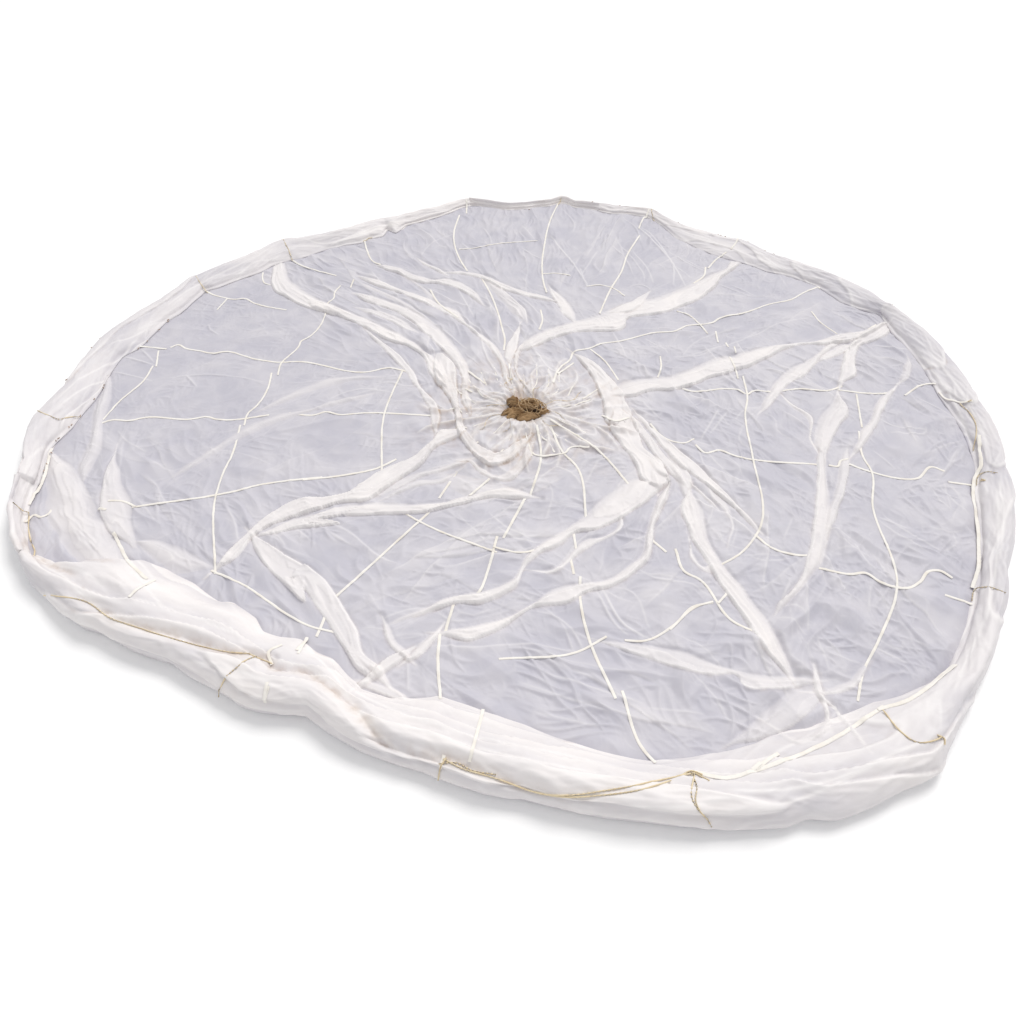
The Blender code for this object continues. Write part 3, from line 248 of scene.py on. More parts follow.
    "frontHook": ("cc", 0.95, 0.015, 3, "-355,-1034 -40,-27 -63,-71 / -342,-1059 -106,-87"),
    "frontHookLower": ("sc", 0.85, 0.01, 2, "-430,-1126 44,-12 58,-32 / -454,-1141 109,-37"),
    "frontHookSecond": ("sc", 0.8, 0.009, 1, "-394,-1096 12,-24 52,-48 / -413,-1115 68,-57"),
    "leftTube": ("cs", 0.9, 0.015, 1, """1029,-224 -38,-127 -124,-333 -33,-66 -136,-150 / 1059,-224
    -162,-487 -144,-165"""),
    "rightTube": ("sc", 0.7, 0.012, 0, """1102,-240 -53,-128 -98,-187 -33,-87 / 1144,-240 -49,-111
    -155,-277"""),
    "humpRight": ("cc", 0.95, 0.015, 2, """430,-12 61,-116 72,-110 172,-339 / 415,-12 94,-226 181,-284
    23,-55"""),
    "foldPanel": ("sc", 0.8, 0.01, 1, "487,-224 25,-228 / 536,-266 14,-44 5,-76 -25,-75"),
}

# single creases: strength, lines
creaseLines = (
    (0.5, """229,1777 57,-226 -13,-69 / 446,1560 -95,-251 / -499,1196 44,147 52,70 69,52 / 73,936 44,-43
    26,-78 / 539,1664 60,-104 18,-182 / 729,1274 104,-156 52,-52 / 747,1118 60,-130 / 807,1187 44,-69 43,-35
    / 911,953 139,-130 / 972,945 95,-113 / 1223,1040 9,-130 / -1415,204 139,26 269,-52 / -1484,-108 43,-52
    104,-69 / -1363,603 18,-44 52,-43 / -1510,-377 43,-60 52,-26 / -603,161 78,17 61,-26 69,9 52,26 /
    -620,733 147,-130 / 160,499 35,-96 / 281,403 61,-104 / 403,490 86,-69 / 177,152 18,-121 / 286,-21 99,17
    / -213,39 122,-26 / -195,-56 52,35 43,8 / -5,-65 -17,-69 9,-69 / 91,-47 112,-104 / -663,91 86,35 78,-17
    / -325,-368 -78,-78 / 643,343 60,95 130,95 / 833,516 52,-26 252,121 156,52 / 513,490 86,-121 / 747,195
    138,35 / 1232,239 -17,-44 -35,-34 / 1492,83 69,-78 44,-87 / 1223,-221 44,-95 / 1397,-368 130,156 /
    1405,-377 -34,-138 / 1423,-394 0,-69 -26,-70 / 885,-13 35,-43 -9,-61 44,-52 / 799,-82 -35,-104 43,-43 /
    608,109 43,-113 / 911,57 -138,-174 / 686,-238 35,-52 8,-69 / -747,-673 -35,44 -43,17 / -1276,-465 87,-95
    / -230,-525 121,-156 / -473,-967 52,0 35,-18 / 56,-361 26,-60 -26,-139 / 117,-508 52,9 34,-35 / 290,-768
    182,-26 / 238,-820 52,-17 43,-139 / 30,-889 52,-52 35,-104 / -213,-907 52,-17 52,26 / -334,-1063 13,-104
    / -39,-1132 242,-95 / -5,-1219 174,-43 / 290,-1210 147,-17 / -265,-907 35,-34 52,0 / 573,-586 35,-69
    52,-26 / 599,-603 13,-61 39,-9 / 660,-525 0,-61 -35,-87 / 634,-707 199,4 / 955,-560 8,-69 78,-87 /
    937,-681 70,0 17,-70 35,-43 / 1119,-551 44,-78 69,-78 / 1267,-690 52,26 17,61 / 1353,-413 0,-60 26,-52 /
    1405,-387 26,-60 -17,-70 / 1267,-586 43,-26 61,9 / 955,-924 52,121 / 721,-889 52,-18 8,-52 / 695,-933
    43,-17 26,-43 / 937,-993 70,-44 17,26 / 816,-1011 17,-52 52,-17 / 790,-993 0,-113 / 400,-993 52,-26
    69,-96 / 417,-1106 52,-69 26,-78 / 1007,-837 17,-52 -26,-70 / 851,-543 -61,-104"""),
    (0.6, """4,1560 69,-165 / -195,1543 43,-165 0,-69 / 4,1309 43,-70 61,-52 / 281,1109 18,-173 / 455,1343
    52,-138 26,-174 / 385,1274 -112,-269 / 4,815 78,-165 / -750,737 78,-35 61,-52 / 487,1378 78,-260 17,-87
    -9,-78 / 712,1621 130,-243 / 729,763 -8,-70 26,-43 / 495,910 44,26 34,-9 26,-43 / -1345,230 69,-78 /
    -1588,412 95,-104 / -1657,256 199,-69 / -750,65 52,44 78,26 69,-9 / -403,525 60,-139 35,-43 / 4,698
    69,-147 / 151,-82 113,43 / 65,-73 69,-130 / 195,-394 60,130 / 608,351 87,0 112,61 / 660,351 295,148
    52,52 / 1301,-30 35,-52 121,-35 / 1319,-125 130,0 8,26 / 435,65 60,-112 / 764,5 -104,-148 / 885,22
    -69,-26 -43,-52 / 608,-203 9,-139 26,-61 / 625,-212 78,-156 44,-43 / -421,-941 70,34 69,9 / 307,-733
    52,-52 122,-35 43,-43 / 13,-907 52,-17 52,-52 26,-61 / 30,-1106 260,-95 / 400,-508 95,35 / 703,-612
    9,-61 43,-26 / 669,-707 26,-18 104,9 / 920,-586 35,-9 52,-52 / 1007,-655 17,-113 / 1128,-543 69,-60 /
    1145,-534 35,-69 87,-87 / 1379,-395 35,-148 / 773,-976 26,113 / 920,-1019 87,-61"""),
    (0.7, """-291,875 78,-225 / 556,1265 48,-164 13,-148 / -1649,360 165,-69 / -455,698 234,-312 / -143,334
    60,-173 / 21,377 61,-199 / 125,239 61,-130 / 108,-30 147,-139 / 1457,438 156,-43 / 729,13 -104,-182 /
    -126,-525 52,-61 87,-61 / -100,-586 61,-52 69,-17 / 195,-837 52,-130 26,-26"""),
    (0.8, "634,1551 35,-86 56,-252 9,-95 -26,-182 / 117,13 78,-1 86,-33 / 13,-411 104,95 34,-26 35,-61"),
    (0.9, """151,1439 139,-442 13,-61 -13,-52 / 617,1569 117,-416 30,-234 / -182,516 21,-130 100,-260 /
    47,386 70,-147 52,-52 / 212,-829 52,-130 61,-43"""),
)

tapeRoutes = {
    "seam_tape_07": """-298,1898 7,-182 / -330,1686 -17,-204 4,-78 44,-217 34,-95 / -200,1031 31,-86 82,-386
    9,-69 -3,-69""",
    "seam_tape_06": "214,1846 -54,-217 -35,-234 -21,-442 8,-65 / 82,711 4,-74 -13,-60",
    "seam_tape_05": "699,1738 -48,-113 -24,-78 / 612,1443 -82,-195 -52,-182 -65,-156 -67,-204",
    "seam_tape_04": "1124,1417 -65,-108 / 1020,1265 -65,-78 -44,-69 / 890,1105 -22,-74 -52,-60",
    "seam_tape_03": """1388,932 -95,-61 -61,-52 -121,-48 -122,-69 -130,-52 -26,-26 -60,-20 / 768,604 -56,-10
    -61,-42 -78,-10 -173,-69 -75,-18 -52,-34 -61,-22 -26,-65 -35,-43 -21,-44 -13,-52""",
    "seam_tape_02": "134,239 69,78 / 1475,552 60,51",
    "seam_tape_01": """612,148 22,-15 156,10 35,-4 34,-30 26,19 70,-4 121,19 104,-10 48,21 / 1232,133
    104,-20 52,0 / 1475,109 86,60 44,9 / 1618,117 39,-34 34,-18 / 286,-21 47,-31 52,18""",
    "seam_tape_20": """612,-199 18,-30 56,13 35,-22 286,-52 / 1046,-294 30,-5 17,26 31,13 / 1128,-294 26,-18
    173,-47 78,56 18,-13 / 1423,-377 86,-17""",
    "seam_tape_19": """721,-625 26,-39 86,-35 28,0 / 887,-752 76,-20 44,4 34,-35 70,-21 43,21 52,44 26,0
    17,-18 / 1210,-848 65,-34""",
    "seam_tape_18": "104,-56 151,-160 89,-174 / 377,-625 47,-61 / 456,-686 16,-82 26,-17 75,-156 57,-39",
    "seam_tape_17": """95,-91 41,-147 28,-43 24,-270 / 143,-603 4,-70 / 127,-703 7,-69 / 151,-794 -4,-43
    13,-156 52,-174 / 238,-1171 35,-152 13,-17""",
    "seam_tape_16": """43,-91 9,-156 -39,-183 / -6,-452 -72,-177 / -100,-634 -30,-151 -13,-44 -18,-30 /
    -217,-868 -22,-112 / -252,-993 0,-70 13,-104 / -126,-1210 -30,-139""",
    "seam_tape_15": """-126,-361 -65,-82 / -312,-508 -252,-348 / -572,-872 -22,-120 / -620,-993 -13,-54 /
    -691,-1145 -3,-52""",
    "seam_tape_14": "-239,-325 -52,-130 / -1110,-792 -43,-41 -12,-23",
    "seam_tape_13": """-464,-271 -35,-29 -251,-64 46,8 -208,-39 -43,-18 -321,-79 / -1280,-492 -57,26 -43,1 /
    -1370,-505 -27,4 / -1514,-454 -12,-24 -19,-13 -4,-33 -17,-15 -26,9 -8,-20""",
    "seam_tape_12": """-360,-21 -260,13 -69,-9 -61,17 -32,-17 -87,9 / -968,-21 -126,-26 -52,4 -35,13 -60,-13
    -174,9 -52,-18 -60,5 -26,-13""",
    "seam_tape_11": """-473,256 -69,26 -78,-26 -327,69 -26,-4 -121,22 -156,52 -26,-9 -69,17 -61,18 -43,26
    -13,-11 / -1484,416 -121,22""",
    "seam_tape_10": "-1458,888 43,-34 52,-22 52,-17 44,8 52,-39 52,-26 97,-30",
    "seam_tape_09": "-1129,1196 18,-26 86,-65 130,-65 / -230,265 78,-91",
    "seam_tape_08": "-798,1387 25,-96 60,-130 18,-13 / -425,901 43,-112 100,-130",
    "ring_tape_2": """-488,256 -38,-269 29,-312 / 286,403 34,-52 48,-138 / 560,351 -8,-69 -18,-52 /
    -399,-521 82,-56 208,-104 / -96,-668 57,-18 112,22 / 465,-82 22,-52 34,-30 44,-13 30,17""",
    "ring_tape_3": """-795,997 -3,-78 / -851,927 -13,-52 4,-52 -17,-34 4,-61 -43,-229 -22,-26 0,-26 -48,-148
    5,-52 / -1007,234 8,-82 -19,-121 -17,-35 2,-61 / -1046,-91 13,-156 -5,-78 5,-105 91,-329 / -942,-764
    82,-39 260,-160 49,-13 / -74,-1061 208,24 65,39 / 273,-1004 34,-2 96,52 69,65 43,10 / 400,-959 82,71
    35,12 / 543,-879 39,42 / 565,-744 86,54 77,91 66,352 18,174 13,69 26,78 17,139 / 846,208 5,83 -5,69 /
    877,386 4,48 / 855,429 -3,35 / 820,464 7,87 / 786,546 -22,74 -35,69 -30,18 / 316,936 52,9 52,-26 43,-61
    / 221,1040 -52,17 -52,-4""",
    "ring_tape_4": """-1514,403 30,-112 / -1499,282 -2,-87 -44,-130 -17,-99 / -1345,823 -18,-99 / -1237,1049
    9,-44 21,-43 19,-10 / 1288,698 9,-69 39,-87 / 1280,109 -48,-200 / 1210,-125 -30,-130 4,-61 -56,-175
    -43,-320 -130,-200 -74,-95 -35,-69 / -299,1304 69,13 78,35 225,43""",
    "ring_tape_1": "17,-212 13,-26 78,0 30,9 18,26 56,4 / 221,78 69,65 / -230,143 28,-21",
    "skirt_tape_3": "-1692,-195 59,-286 / -1302,-612 95,-121 74,-61",
    "skirt_tape_4": """394,-1375 64,-13 63,16 226,84 143,80 / 898,-1206 48,12 173,101 / 530,-1368 71,45 /
    550,-1350 -26,-18""",
    "skirt_tape_1": "1310,-811 30,43 65,130 122,286 43,53 69,156",
    "roll_tape": "-695,-1024 -18,-17 13,-30 / -622,-989 -13,-56 / -691,-1141 -4,-65 / -217,-1336 -13,-47",
}

cordRoutes = {
    "line_09": "-1220,1391 26,-39 44,-95 21,-61",
    "line_10": "-1555,1005 36,-26 31,-30 21,-43",
    "line_08": "-806,1395 11,87 13,30",
    "line_12": "-1815,-11 36,-6 48,-17 39,21 30,-4",
    "line_13": "-1690,-508 24,16 35,-12 21,-26 10,-30 5,-39 23,-35 3,-21",
    "line_14": """-1415,-850 35,-2 87,-16 112,-65 61,-21 243,-74 60,-13 52,-4 / -765,-1047 68,-29 /
    -743,-1056 -22,-7 -21,-21 -20,-26 -19,-50""",
    "line_16": """-220,-1340 42,-22 69,-21 139,-39 52,-5 78,9 225,43 / -230,-1353 43,3 35,-18 61,-11 /
    4,-1416 78,-15 87,4 86,13 70,20 / -213,-1338 -13,-24 -4,-26""",
    "line_17": """385,-1375 -17,-60 9,-26 17,-18 7,-21 / 377,-1375 7,-30 -9,-39 6,-22 / 385,-1375 31,-19 /
    351,-1382 26,12 26,-9""",
    "line_18": "896,-1212 24,-59 22,-24 56,3 19,8 / 1007,-1279 13,-9 -6,-17",
    "line_19": "1280,-868 26,39 21,11 26,1 37,-25",
    "line_20": "1514,-390 21,38 26,23 26,6 25,-9 / 1540,-364 13,-4 -7,10",
    "line_01": "1670,70 4,-57 -9,-69 -26,-69 -30,-61 / 1691,67 8,-5",
    "line_06": "236,1928 -8,-47 -14,-44",
    "line_05": "716,1766 9,-102 / 630,1772 39,-6 45,0",
    "line_07": "-301,1889 3,26",
}

rustMarks = """-1527,1023 -9,-7 275,310 167,104 61,22 355,199 9,4 -1027,-957 1017,953 133,69 95,57 290,86
    9,-4 43,-6 26,-7 22,-3 74,3 26,4 21,6 260,0 22,-8 26,-15 22,-22 8,-17 -346,-42 435,64 13,-5 56,-17
    286,-208 126,-94 8,-8 57,-37 10,-8 24,-11 104,-67 52,-96 5,-7 39,-36 78,-87 108,-91 48,-47 52,-78
    86,-221 22,-35 30,-60 -3385,91 -41,-78 -22,-39 -17,-54 -12,-76 -3,-70 -1,-112 -2,-122 -11,-104"""
darkStitches = """-1558,650 2,-11 -15,-67 -20,-86 -19,-55 -34,-266 1,-13 -8,-69 -11,-100 -8,-56 -3,-13
    -13,-61 -3,-13 13,-65 8,-56 7,-35"""


def routes(text):
    return [np.cumsum([[int(value) for value in pair.split(",")] for pair in part.split()], axis=0) / 1000.0
            for part in text.split("/")]


# small tools

def clamp(value):
    return np.clip(value, 0.0, 1.0)


def smooth(value):
    value = clamp(value)
    return value * value * (3.0 - 2.0 * value)


def bump(values, middle, width):
    return np.exp(-((values - middle) / width) ** 2)


def span(limits, share):
    return limits[0] + (limits[1] - limits[0]) * share


def heading(angle):
    return np.array((math.cos(angle), math.sin(angle)))


def seenAt(points, level):
    # where a point lies at this level when the camera sees it on the floor at the given place
    return eye + (points - eye) * (1.0 - np.asarray(level) / view["height"])[..., None]


def noise(x, y, seed, wrap=256):
    # gradient noise, about -1 to 1, that repeats in x after wrap cells
    angles = np.random.default_rng(seed).random((256, 256)) * fullTurn
    gx, gy = np.cos(angles), np.sin(angles)
    xi, yi = np.floor(x).astype(int), np.floor(y).astype(int)
    xf, yf = x - xi, y - yi

    def corner(i, j):
        a, b = (xi + i) % wrap % 256, (yi + j) % 256
        return gx[a, b] * (xf - i) + gy[a, b] * (yf - j)

    u = xf ** 3 * (xf * (6.0 * xf - 15.0) + 10.0)
    v = yf ** 3 * (yf * (6.0 * yf - 15.0) + 10.0)
    low = corner(0, 0) * (1 - u) + corner(1, 0) * u
    high = corner(0, 1) * (1 - u) + corner(1, 1) * u
    return (low * (1 - v) + high * v) * 1.5


def wave(places, row, seed, wrap=256):
    # the same noise along a line
    return noise(places, np.full(len(places), row), seed, wrap)


class Curve:
    def __init__(self, points):
        self.points = np.array(points, dtype=float)
        steps = np.maximum(np.linalg.norm(np.diff(self.points, axis=0), axis=1), 1e-6)
        self.knots = np.concatenate(((0.0,), np.cumsum(steps)))
        self.length = self.knots[-1]
        slopes = np.diff(self.points, axis=0) / steps[:, None]
        share = (steps[:-1] / (steps[:-1] + steps[1:]))[:, None]
        self.tangents = np.vstack((slopes[:1], slopes[:-1] * (1 - share) + slopes[1:] * share, slopes[-1:]))

    def at(self, places):
        index = np.clip(np.searchsorted(self.knots, places, side="right") - 1, 0, len(self.knots) - 2)
        step = self.knots[index + 1] - self.knots[index]
        t = ((places - self.knots[index]) / step)[:, None]
        m, n = self.tangents[index] * step[:, None], self.tangents[index + 1] * step[:, None]
        return ((2 * t**3 - 3 * t**2 + 1) * self.points[index] + (t**3 - 2 * t**2 + t) * m
                + (3 * t**2 - 2 * t**3) * self.points[index + 1] + (t**3 - t**2) * n)

    def sampled(self, count):
        return self.at(np.linspace(0.0, self.length, count))


def leftOf(direction):
    return np.stack((-direction[..., 1], direction[..., 0]), axis=-1)


def unit(vector):
    return vector / np.maximum(np.linalg.norm(vector, axis=-1, keepdims=True), 1e-9)


def blurred(values, passes, axes=(0, 1)):
    for _ in range(passes):
        for axis in axes:
            count = values.shape[axis]
            beside = (np.clip(np.arange(count) + step, 0, count - 1) for step in (-1, 1))
            before, after = (np.take(values, index, axis=axis) for index in beside)
            values = 0.25 * before + 0.5 * values + 0.25 * after
    return values


# a square grid over the floor carries the wrinkles and, later, the height of all that lies there

ground = {"left": -1.96, "near": -1.76, "cell": 0.0035, "columns": 1098, "rows": 1086}
gridX = ground["left"] + ground["cell"] * np.arange(ground["columns"])
gridY = ground["near"] + ground["cell"] * np.arange(ground["rows"])


def emptyGrids(count):
    return [np.zeros((ground["rows"], ground["columns"])) for _ in range(count)]


def read(values, points):
    # a grid's values at free points, between the four nearest cells
    row = (points[..., 1] - ground["near"]) / ground["cell"]
    column = (points[..., 0] - ground["left"]) / ground["cell"]
    i = np.clip(np.floor(row).astype(int), 0, ground["rows"] - 2)
    j = np.clip(np.floor(column).astype(int), 0, ground["columns"] - 2)
    a, b = clamp(row - i), clamp(column - j)
    return (values[i, j] * (1 - a) * (1 - b) + values[i + 1, j] * a * (1 - b)
            + values[i, j + 1] * (1 - a) * b + values[i + 1, j + 1] * a * b)


def nearestCell(places, start, count):
    return np.clip(np.rint((places - start) / ground["cell"]).astype(int), 0, count - 1)


def pile(values, points, heights):
    # raise the grid to the given heights where the points fall
    i = nearestCell(points[..., 1], ground["near"], ground["rows"])
    j = nearestCell(points[..., 0], ground["left"], ground["columns"])
    np.maximum.at(values, (i.ravel(), j.ravel()), heights.ravel())


def window(low, high):
    # the rows and columns of the grid between two corners
    rows, columns = (np.searchsorted(grid, (low[k], high[k])) for grid, k in ((gridY, 1), (gridX, 0)))
    return slice(*rows), slice(*columns)


def cellsIn(box):
    return np.meshgrid(gridX[box[1]], gridY[box[0]])


def stampStroke(height, paint, x, y, angle, half, width, rise, bend, bright):
    # one straight or slightly bent wrinkle with a sharp crest, fading at both ends; bright paints a highlight
    # along the crest
    reach = half + width
    box = window((x - reach, y - reach), (x + reach, y + reach))
    dx, dy = gridX[box[1]][None] - x, gridY[box[0]][:, None] - y
    along = (dx * math.cos(angle) + dy * math.sin(angle)) / half
    across = dy * math.cos(angle) - dx * math.sin(angle) - bend * (along * along - 0.4)
    body = clamp(1.0 - along * along)
    section = clamp(1.0 - np.abs(across) / (width * (0.35 + 0.65 * body)))
    height[box] = np.maximum(height[box], rise * body * section ** 1.15)
    if bright > 0.0:
        thin = clamp(1.0 - np.abs(across) / np.maximum(0.5 * width, 0.0048))
        paint[box] = np.maximum(paint[box], bright * np.sqrt(body) * thin)


def alongLine(line, margin):
    # the grid window round a line, with each cell's distance from it, place along it (0 to 1) and side of it
    line = Curve(line).sampled(max(4, int(Curve(line).length / 0.02)))
    box = window(line.min(axis=0) - margin, line.max(axis=0) + margin)
    gx, gy = cellsIn(box)
    best, place, side = np.full(gx.shape, 9.0), np.zeros(gx.shape), np.ones(gx.shape)
    count = len(line) - 1
    for index in range(count):
        step = line[index + 1] - line[index]
        ax, ay = gx - line[index, 0], gy - line[index, 1]
        t = clamp((ax * step[0] + ay * step[1]) / max(step @ step, 1e-9))
        distance = np.hypot(ax - t * step[0], ay - t * step[1])
        near = distance < best
        best[near] = distance[near]
        place[near] = ((index + t) / count)[near]
        side[near] = np.where(step[0] * ay - step[1] * ax > 0, 1.0, -1.0)[near]
    return box, best, place, side


def stampLine(height, paint, line, width, rise, bright, power=1.4):
    # a wrinkle along a drawn line, with a painted highlight along its crest
    box, away, place, _ = alongLine(line, width)
    body = clamp(1.0 - (2.0 * place - 1.0) ** 4)
    height[box] = np.maximum(height[box], rise * body * clamp(1.0 - away / width) ** power)
    thin = clamp(1.0 - away / max(0.45 * width, 0.0048))
    paint[box] = np.maximum(paint[box], bright * np.sqrt(body) * thin)


def stampStep(height, paint, line, side, width, rise, bright, layers=None, white=0.0):
    # the edge of a layer: a sharp step up at the line that sinks away over the layer's width, with a painted
    # highlight along the step
    length = Curve(line).length
    box, away, place, lies = alongLine(line, width)
    fade = smooth(np.minimum(place, 1.0 - place) * length / min(0.10, 0.4 * length)) * (away < width)
    away = away * lies * side
    body = smooth((away + 0.003) / 0.006) * (1.0 - smooth(away / width))
    height[box] += rise * fade * body
    paint[box] = np.maximum(paint[box], bright * fade * clamp(1.0 - np.abs(away - 0.002) / 0.006))
    if layers is not None:
        layers[box] = 1.0 - (1.0 - layers[box]) * (1.0 - white * fade * body)


# outline of the roll

rollShape = {"steps": 2100, "rows": 84, "crest": 30}


def sweepOf(points):
    return np.arctan2(points[..., 1], points[..., 0]) % fullTurn


def byAngle(angles, values, sweep):
    order = np.argsort(angles)
    angles, values = angles[order], values[order]
    return np.interp(sweep, np.concatenate((angles[-1:] - fullTurn, angles, angles[:1] + fullTurn)),
                     np.concatenate((values[-1:], values, values[:1])))


seams = routes(seamRoutes)
seamEnds = np.array([line[-1] for line in seams])


def rollHeight(sweep):
    return byAngle(sweepOf(seamEnds), seamRoll, sweep)


loopSweep = np.linspace(0.0, fullTurn, rollShape["steps"], endpoint=False)


def loopRadius(text, share):
    # the edge stands at a share of the roll's height, so it is nearer the viewer than it looks
    points = routes(text)[0]
    points = seenAt(points, rollHeight(sweepOf(points)) * share(points))
    radius = byAngle(sweepOf(points), np.hypot(*points.T), loopSweep)
    for _ in range(3):
        radius = 0.25 * np.roll(radius, 1) + 0.5 * radius + 0.25 * np.roll(radius, -1)
    return radius


def farness(points):
    return 0.5 + 0.5 * (unit(points) * unit(points - eye)).sum(axis=-1)


rimRadius = loopRadius(rimEdge, lambda points: 0.50 * farness(points))
hemRadius = np.minimum(loopRadius(hemEdge, lambda points: 0.25), rimRadius - 0.045)


def radiusAt(loop, points):
    return np.interp(sweepOf(points), np.append(loopSweep, fullTurn), np.append(loop, loop[0]))


# seams, for sharing the cloth out to its gores

def seamAngles():
    # each seam's direction from the vent at a set of radii, so that any point's gore can be looked up
    radii = np.linspace(0.0, 2.2, 220)
    angles = []
    for index, line in enumerate(seams):
        ray = fullTurn * index / goreCount
        start = heading(ray) * 0.05
        fourth = line[3] if len(line) == 6 else (line[2] + line[3]) / 2.0
        line = Curve((start, start * 2.1, *line[:3], fourth, *line[-2:])).sampled(300)
        turn = np.unwrap(np.arctan2(line[:, 1], line[:, 0]))
        turn += fullTurn * round((ray - turn[0]) / fullTurn)
        reach = np.maximum.accumulate(np.hypot(*line.T))
        angles.append(np.interp(radii, reach, turn))
    return radii, np.array(angles)


seamRadii, seamTurns = seamAngles()


def goreOf(points):
    radius = np.hypot(points[..., 0], points[..., 1])
    angle = sweepOf(points)
    best, owner = np.full(radius.shape, 99.0), np.zeros(radius.shape, dtype=int)
    for index in range(goreCount):
        gap = (angle - np.interp(radius, seamRadii, seamTurns[index])) % fullTurn
        nearer = gap < best
        best = np.where(nearer, gap, best)
        owner = np.where(nearer, index, owner)
    return owner


# wrinkles of the laid cloth

# kinds of wrinkle; bright is the strength of the painted highlight along each crest
wrinkles = {
    "fine": {"count": 2000, "length": (0.010, 0.034), "width": (0.0060, 0.0095), "height": (0.0014, 0.0034),
             "bright": 0.16, "seed": 5, "least": 0.75},
    "long": {"count": 420, "length": (0.045, 0.120), "width": (0.0085, 0.0150), "height": (0.0024, 0.0046),
             "bright": 0.10, "seed": 6, "least": 0.7},
    "billow": {"count": 340, "length": (0.08, 0.22), "width": (0.030, 0.060), "height": (0.004, 0.011),
               "bright": 0.0, "seed": 7, "least": 0.7},
    "roll": {"count": 1000, "length": (0.030, 0.170), "width": (0.009, 0.019), "height": (0.0014, 0.0044),
             "bright": 0.40, "seed": 8},
    "fan": {"spacing": 0.036, "length": (0.025, 0.085), "width": 0.0090, "height": 0.0034,
            "bright": 0.22, "seed": 12},
}
# the crumple under them: spacing and length of the ridges in metres, height, light on the crests
crumple = ((0.100, 0.30, 0.0086, 0.03), (0.048, 0.15, 0.0060, 0.12), (0.025, 0.085, 0.0024, 0.09))
# x, y, direction of the wrinkles in degrees, spread, length, height and density against the usual
regions = (
    (0, 1.35, 88, 14, 1.7, 1, 1), (-0.35, 1.2, 110, 14, 1.5, 1, 1), (0.4, 1.25, 68, 16, 1.4, 1, 1),
    (-0.75, 1.05, 138, 18, 1.3, 1, 0.9), (-0.55, 0.75, 140, 12, 1.6, 1.2, 1),
    (-1.25, 0.55, 35, 60, 1, 0.6, 0.5), (-1.2, 0.1, 62, 50, 1.1, 0.6, 0.5),
    (-0.75, 0, 28, 50, 1.2, 0.7, 0.6), (-1.3, -0.3, 130, 40, 1.1, 0.8, 0.7),
    (-0.75, -0.65, 125, 30, 1.2, 1, 0.9), (-0.2, -0.55, 25, 30, 1.2, 1.1, 1),
    (0.1, -0.95, 150, 35, 1.5, 1, 0.9), (-0.15, 0.55, 105, 14, 1.6, 1.3, 1.2),
    (0.15, 0.6, 120, 40, 0.9, 1, 1.1), (0.75, 0.7, 25, 40, 0.9, 0.9, 1), (0.8, 1.1, 50, 40, 0.9, 0.9, 0.9),
    (0.8, 0.1, 110, 40, 0.8, 1.2, 1.2), (1.25, 0.15, 120, 35, 0.9, 1.1, 1.1),
    (1.3, -0.3, 60, 45, 0.9, 1.1, 1.1), (0.8, -0.4, 125, 35, 1.1, 1.3, 1.2),
    (0.4, -0.65, 40, 40, 1.1, 1.1, 1), (0.75, -0.9, 45, 60, 1.3, 1.8, 1), (1, -0.8, 100, 50, 1.2, 1.6, 1),
)
regionTable = np.array(regions)

heights = dict(zip(("fine", "wide", "roll", "gather"), emptyGrids(4)))
creaseHighlight, rollHighlight, gatherShade, cover = emptyGrids(4)


def ridges(n, width, power):
    return clamp(1.0 - np.abs(n) / width) ** power


def layCrumple():
    # creases run along each region's direction, wander, and pass into the next region's
    total, light, weight = emptyGrids(3)
    for number, (x, y, direction, spread, long, high, _) in enumerate(regions):
        box = window((x - 0.72, y - 0.72), (x + 0.72, y + 0.72))
        px, py = cellsIn(box)
        share = np.exp(-((px - x) ** 2 + (py - y) ** 2) / 0.085) + 1e-6
        wanderX = px + 0.040 * noise(px / 0.17 + 40.0, py / 0.17 + 20.0, 700)
        wanderY = py + 0.040 * noise(px / 0.17 + 10.0, py / 0.17 + 60.0, 701)
        relief, bright = np.zeros_like(px), np.zeros_like(px)
        for step, (spacing, length, rise, paint) in enumerate(crumple):
            for lean in ((-0.8, 0.8) if spread > 28 and step else (0.0,)):
                angle = math.radians(direction + lean * spread)
                along = wanderX * math.cos(angle) + wanderY * math.sin(angle)
                across = wanderY * math.cos(angle) - wanderX * math.sin(angle)
                n = noise(along / (length * long) + 50.0 + 3.0 * lean, across / spacing + 50.0,
                          710 + 7 * number + step)
                patch = smooth(0.75 + 1.2 * noise(px / 0.20 + 9.0 * step, py / 0.20 + 4.0, 720 + number))
                crest = ridges(n, 0.50, 1.25) * patch
                relief = np.maximum(relief, rise * high * crest) if step else relief + rise * high * crest
                bright = np.maximum(bright, paint * ridges(n, 0.16, 1.0) * patch * min(1.3, 0.4 + 0.6 * high))
        total[box] += share * relief
        light[box] += share * bright
        weight[box] += share
    weight = np.maximum(weight, 1e-5)
    return total / weight, light / weight


def gapsTo(spot):
    return np.hypot(regionTable[:, 0] - spot[0], regionTable[:, 1] - spot[1])


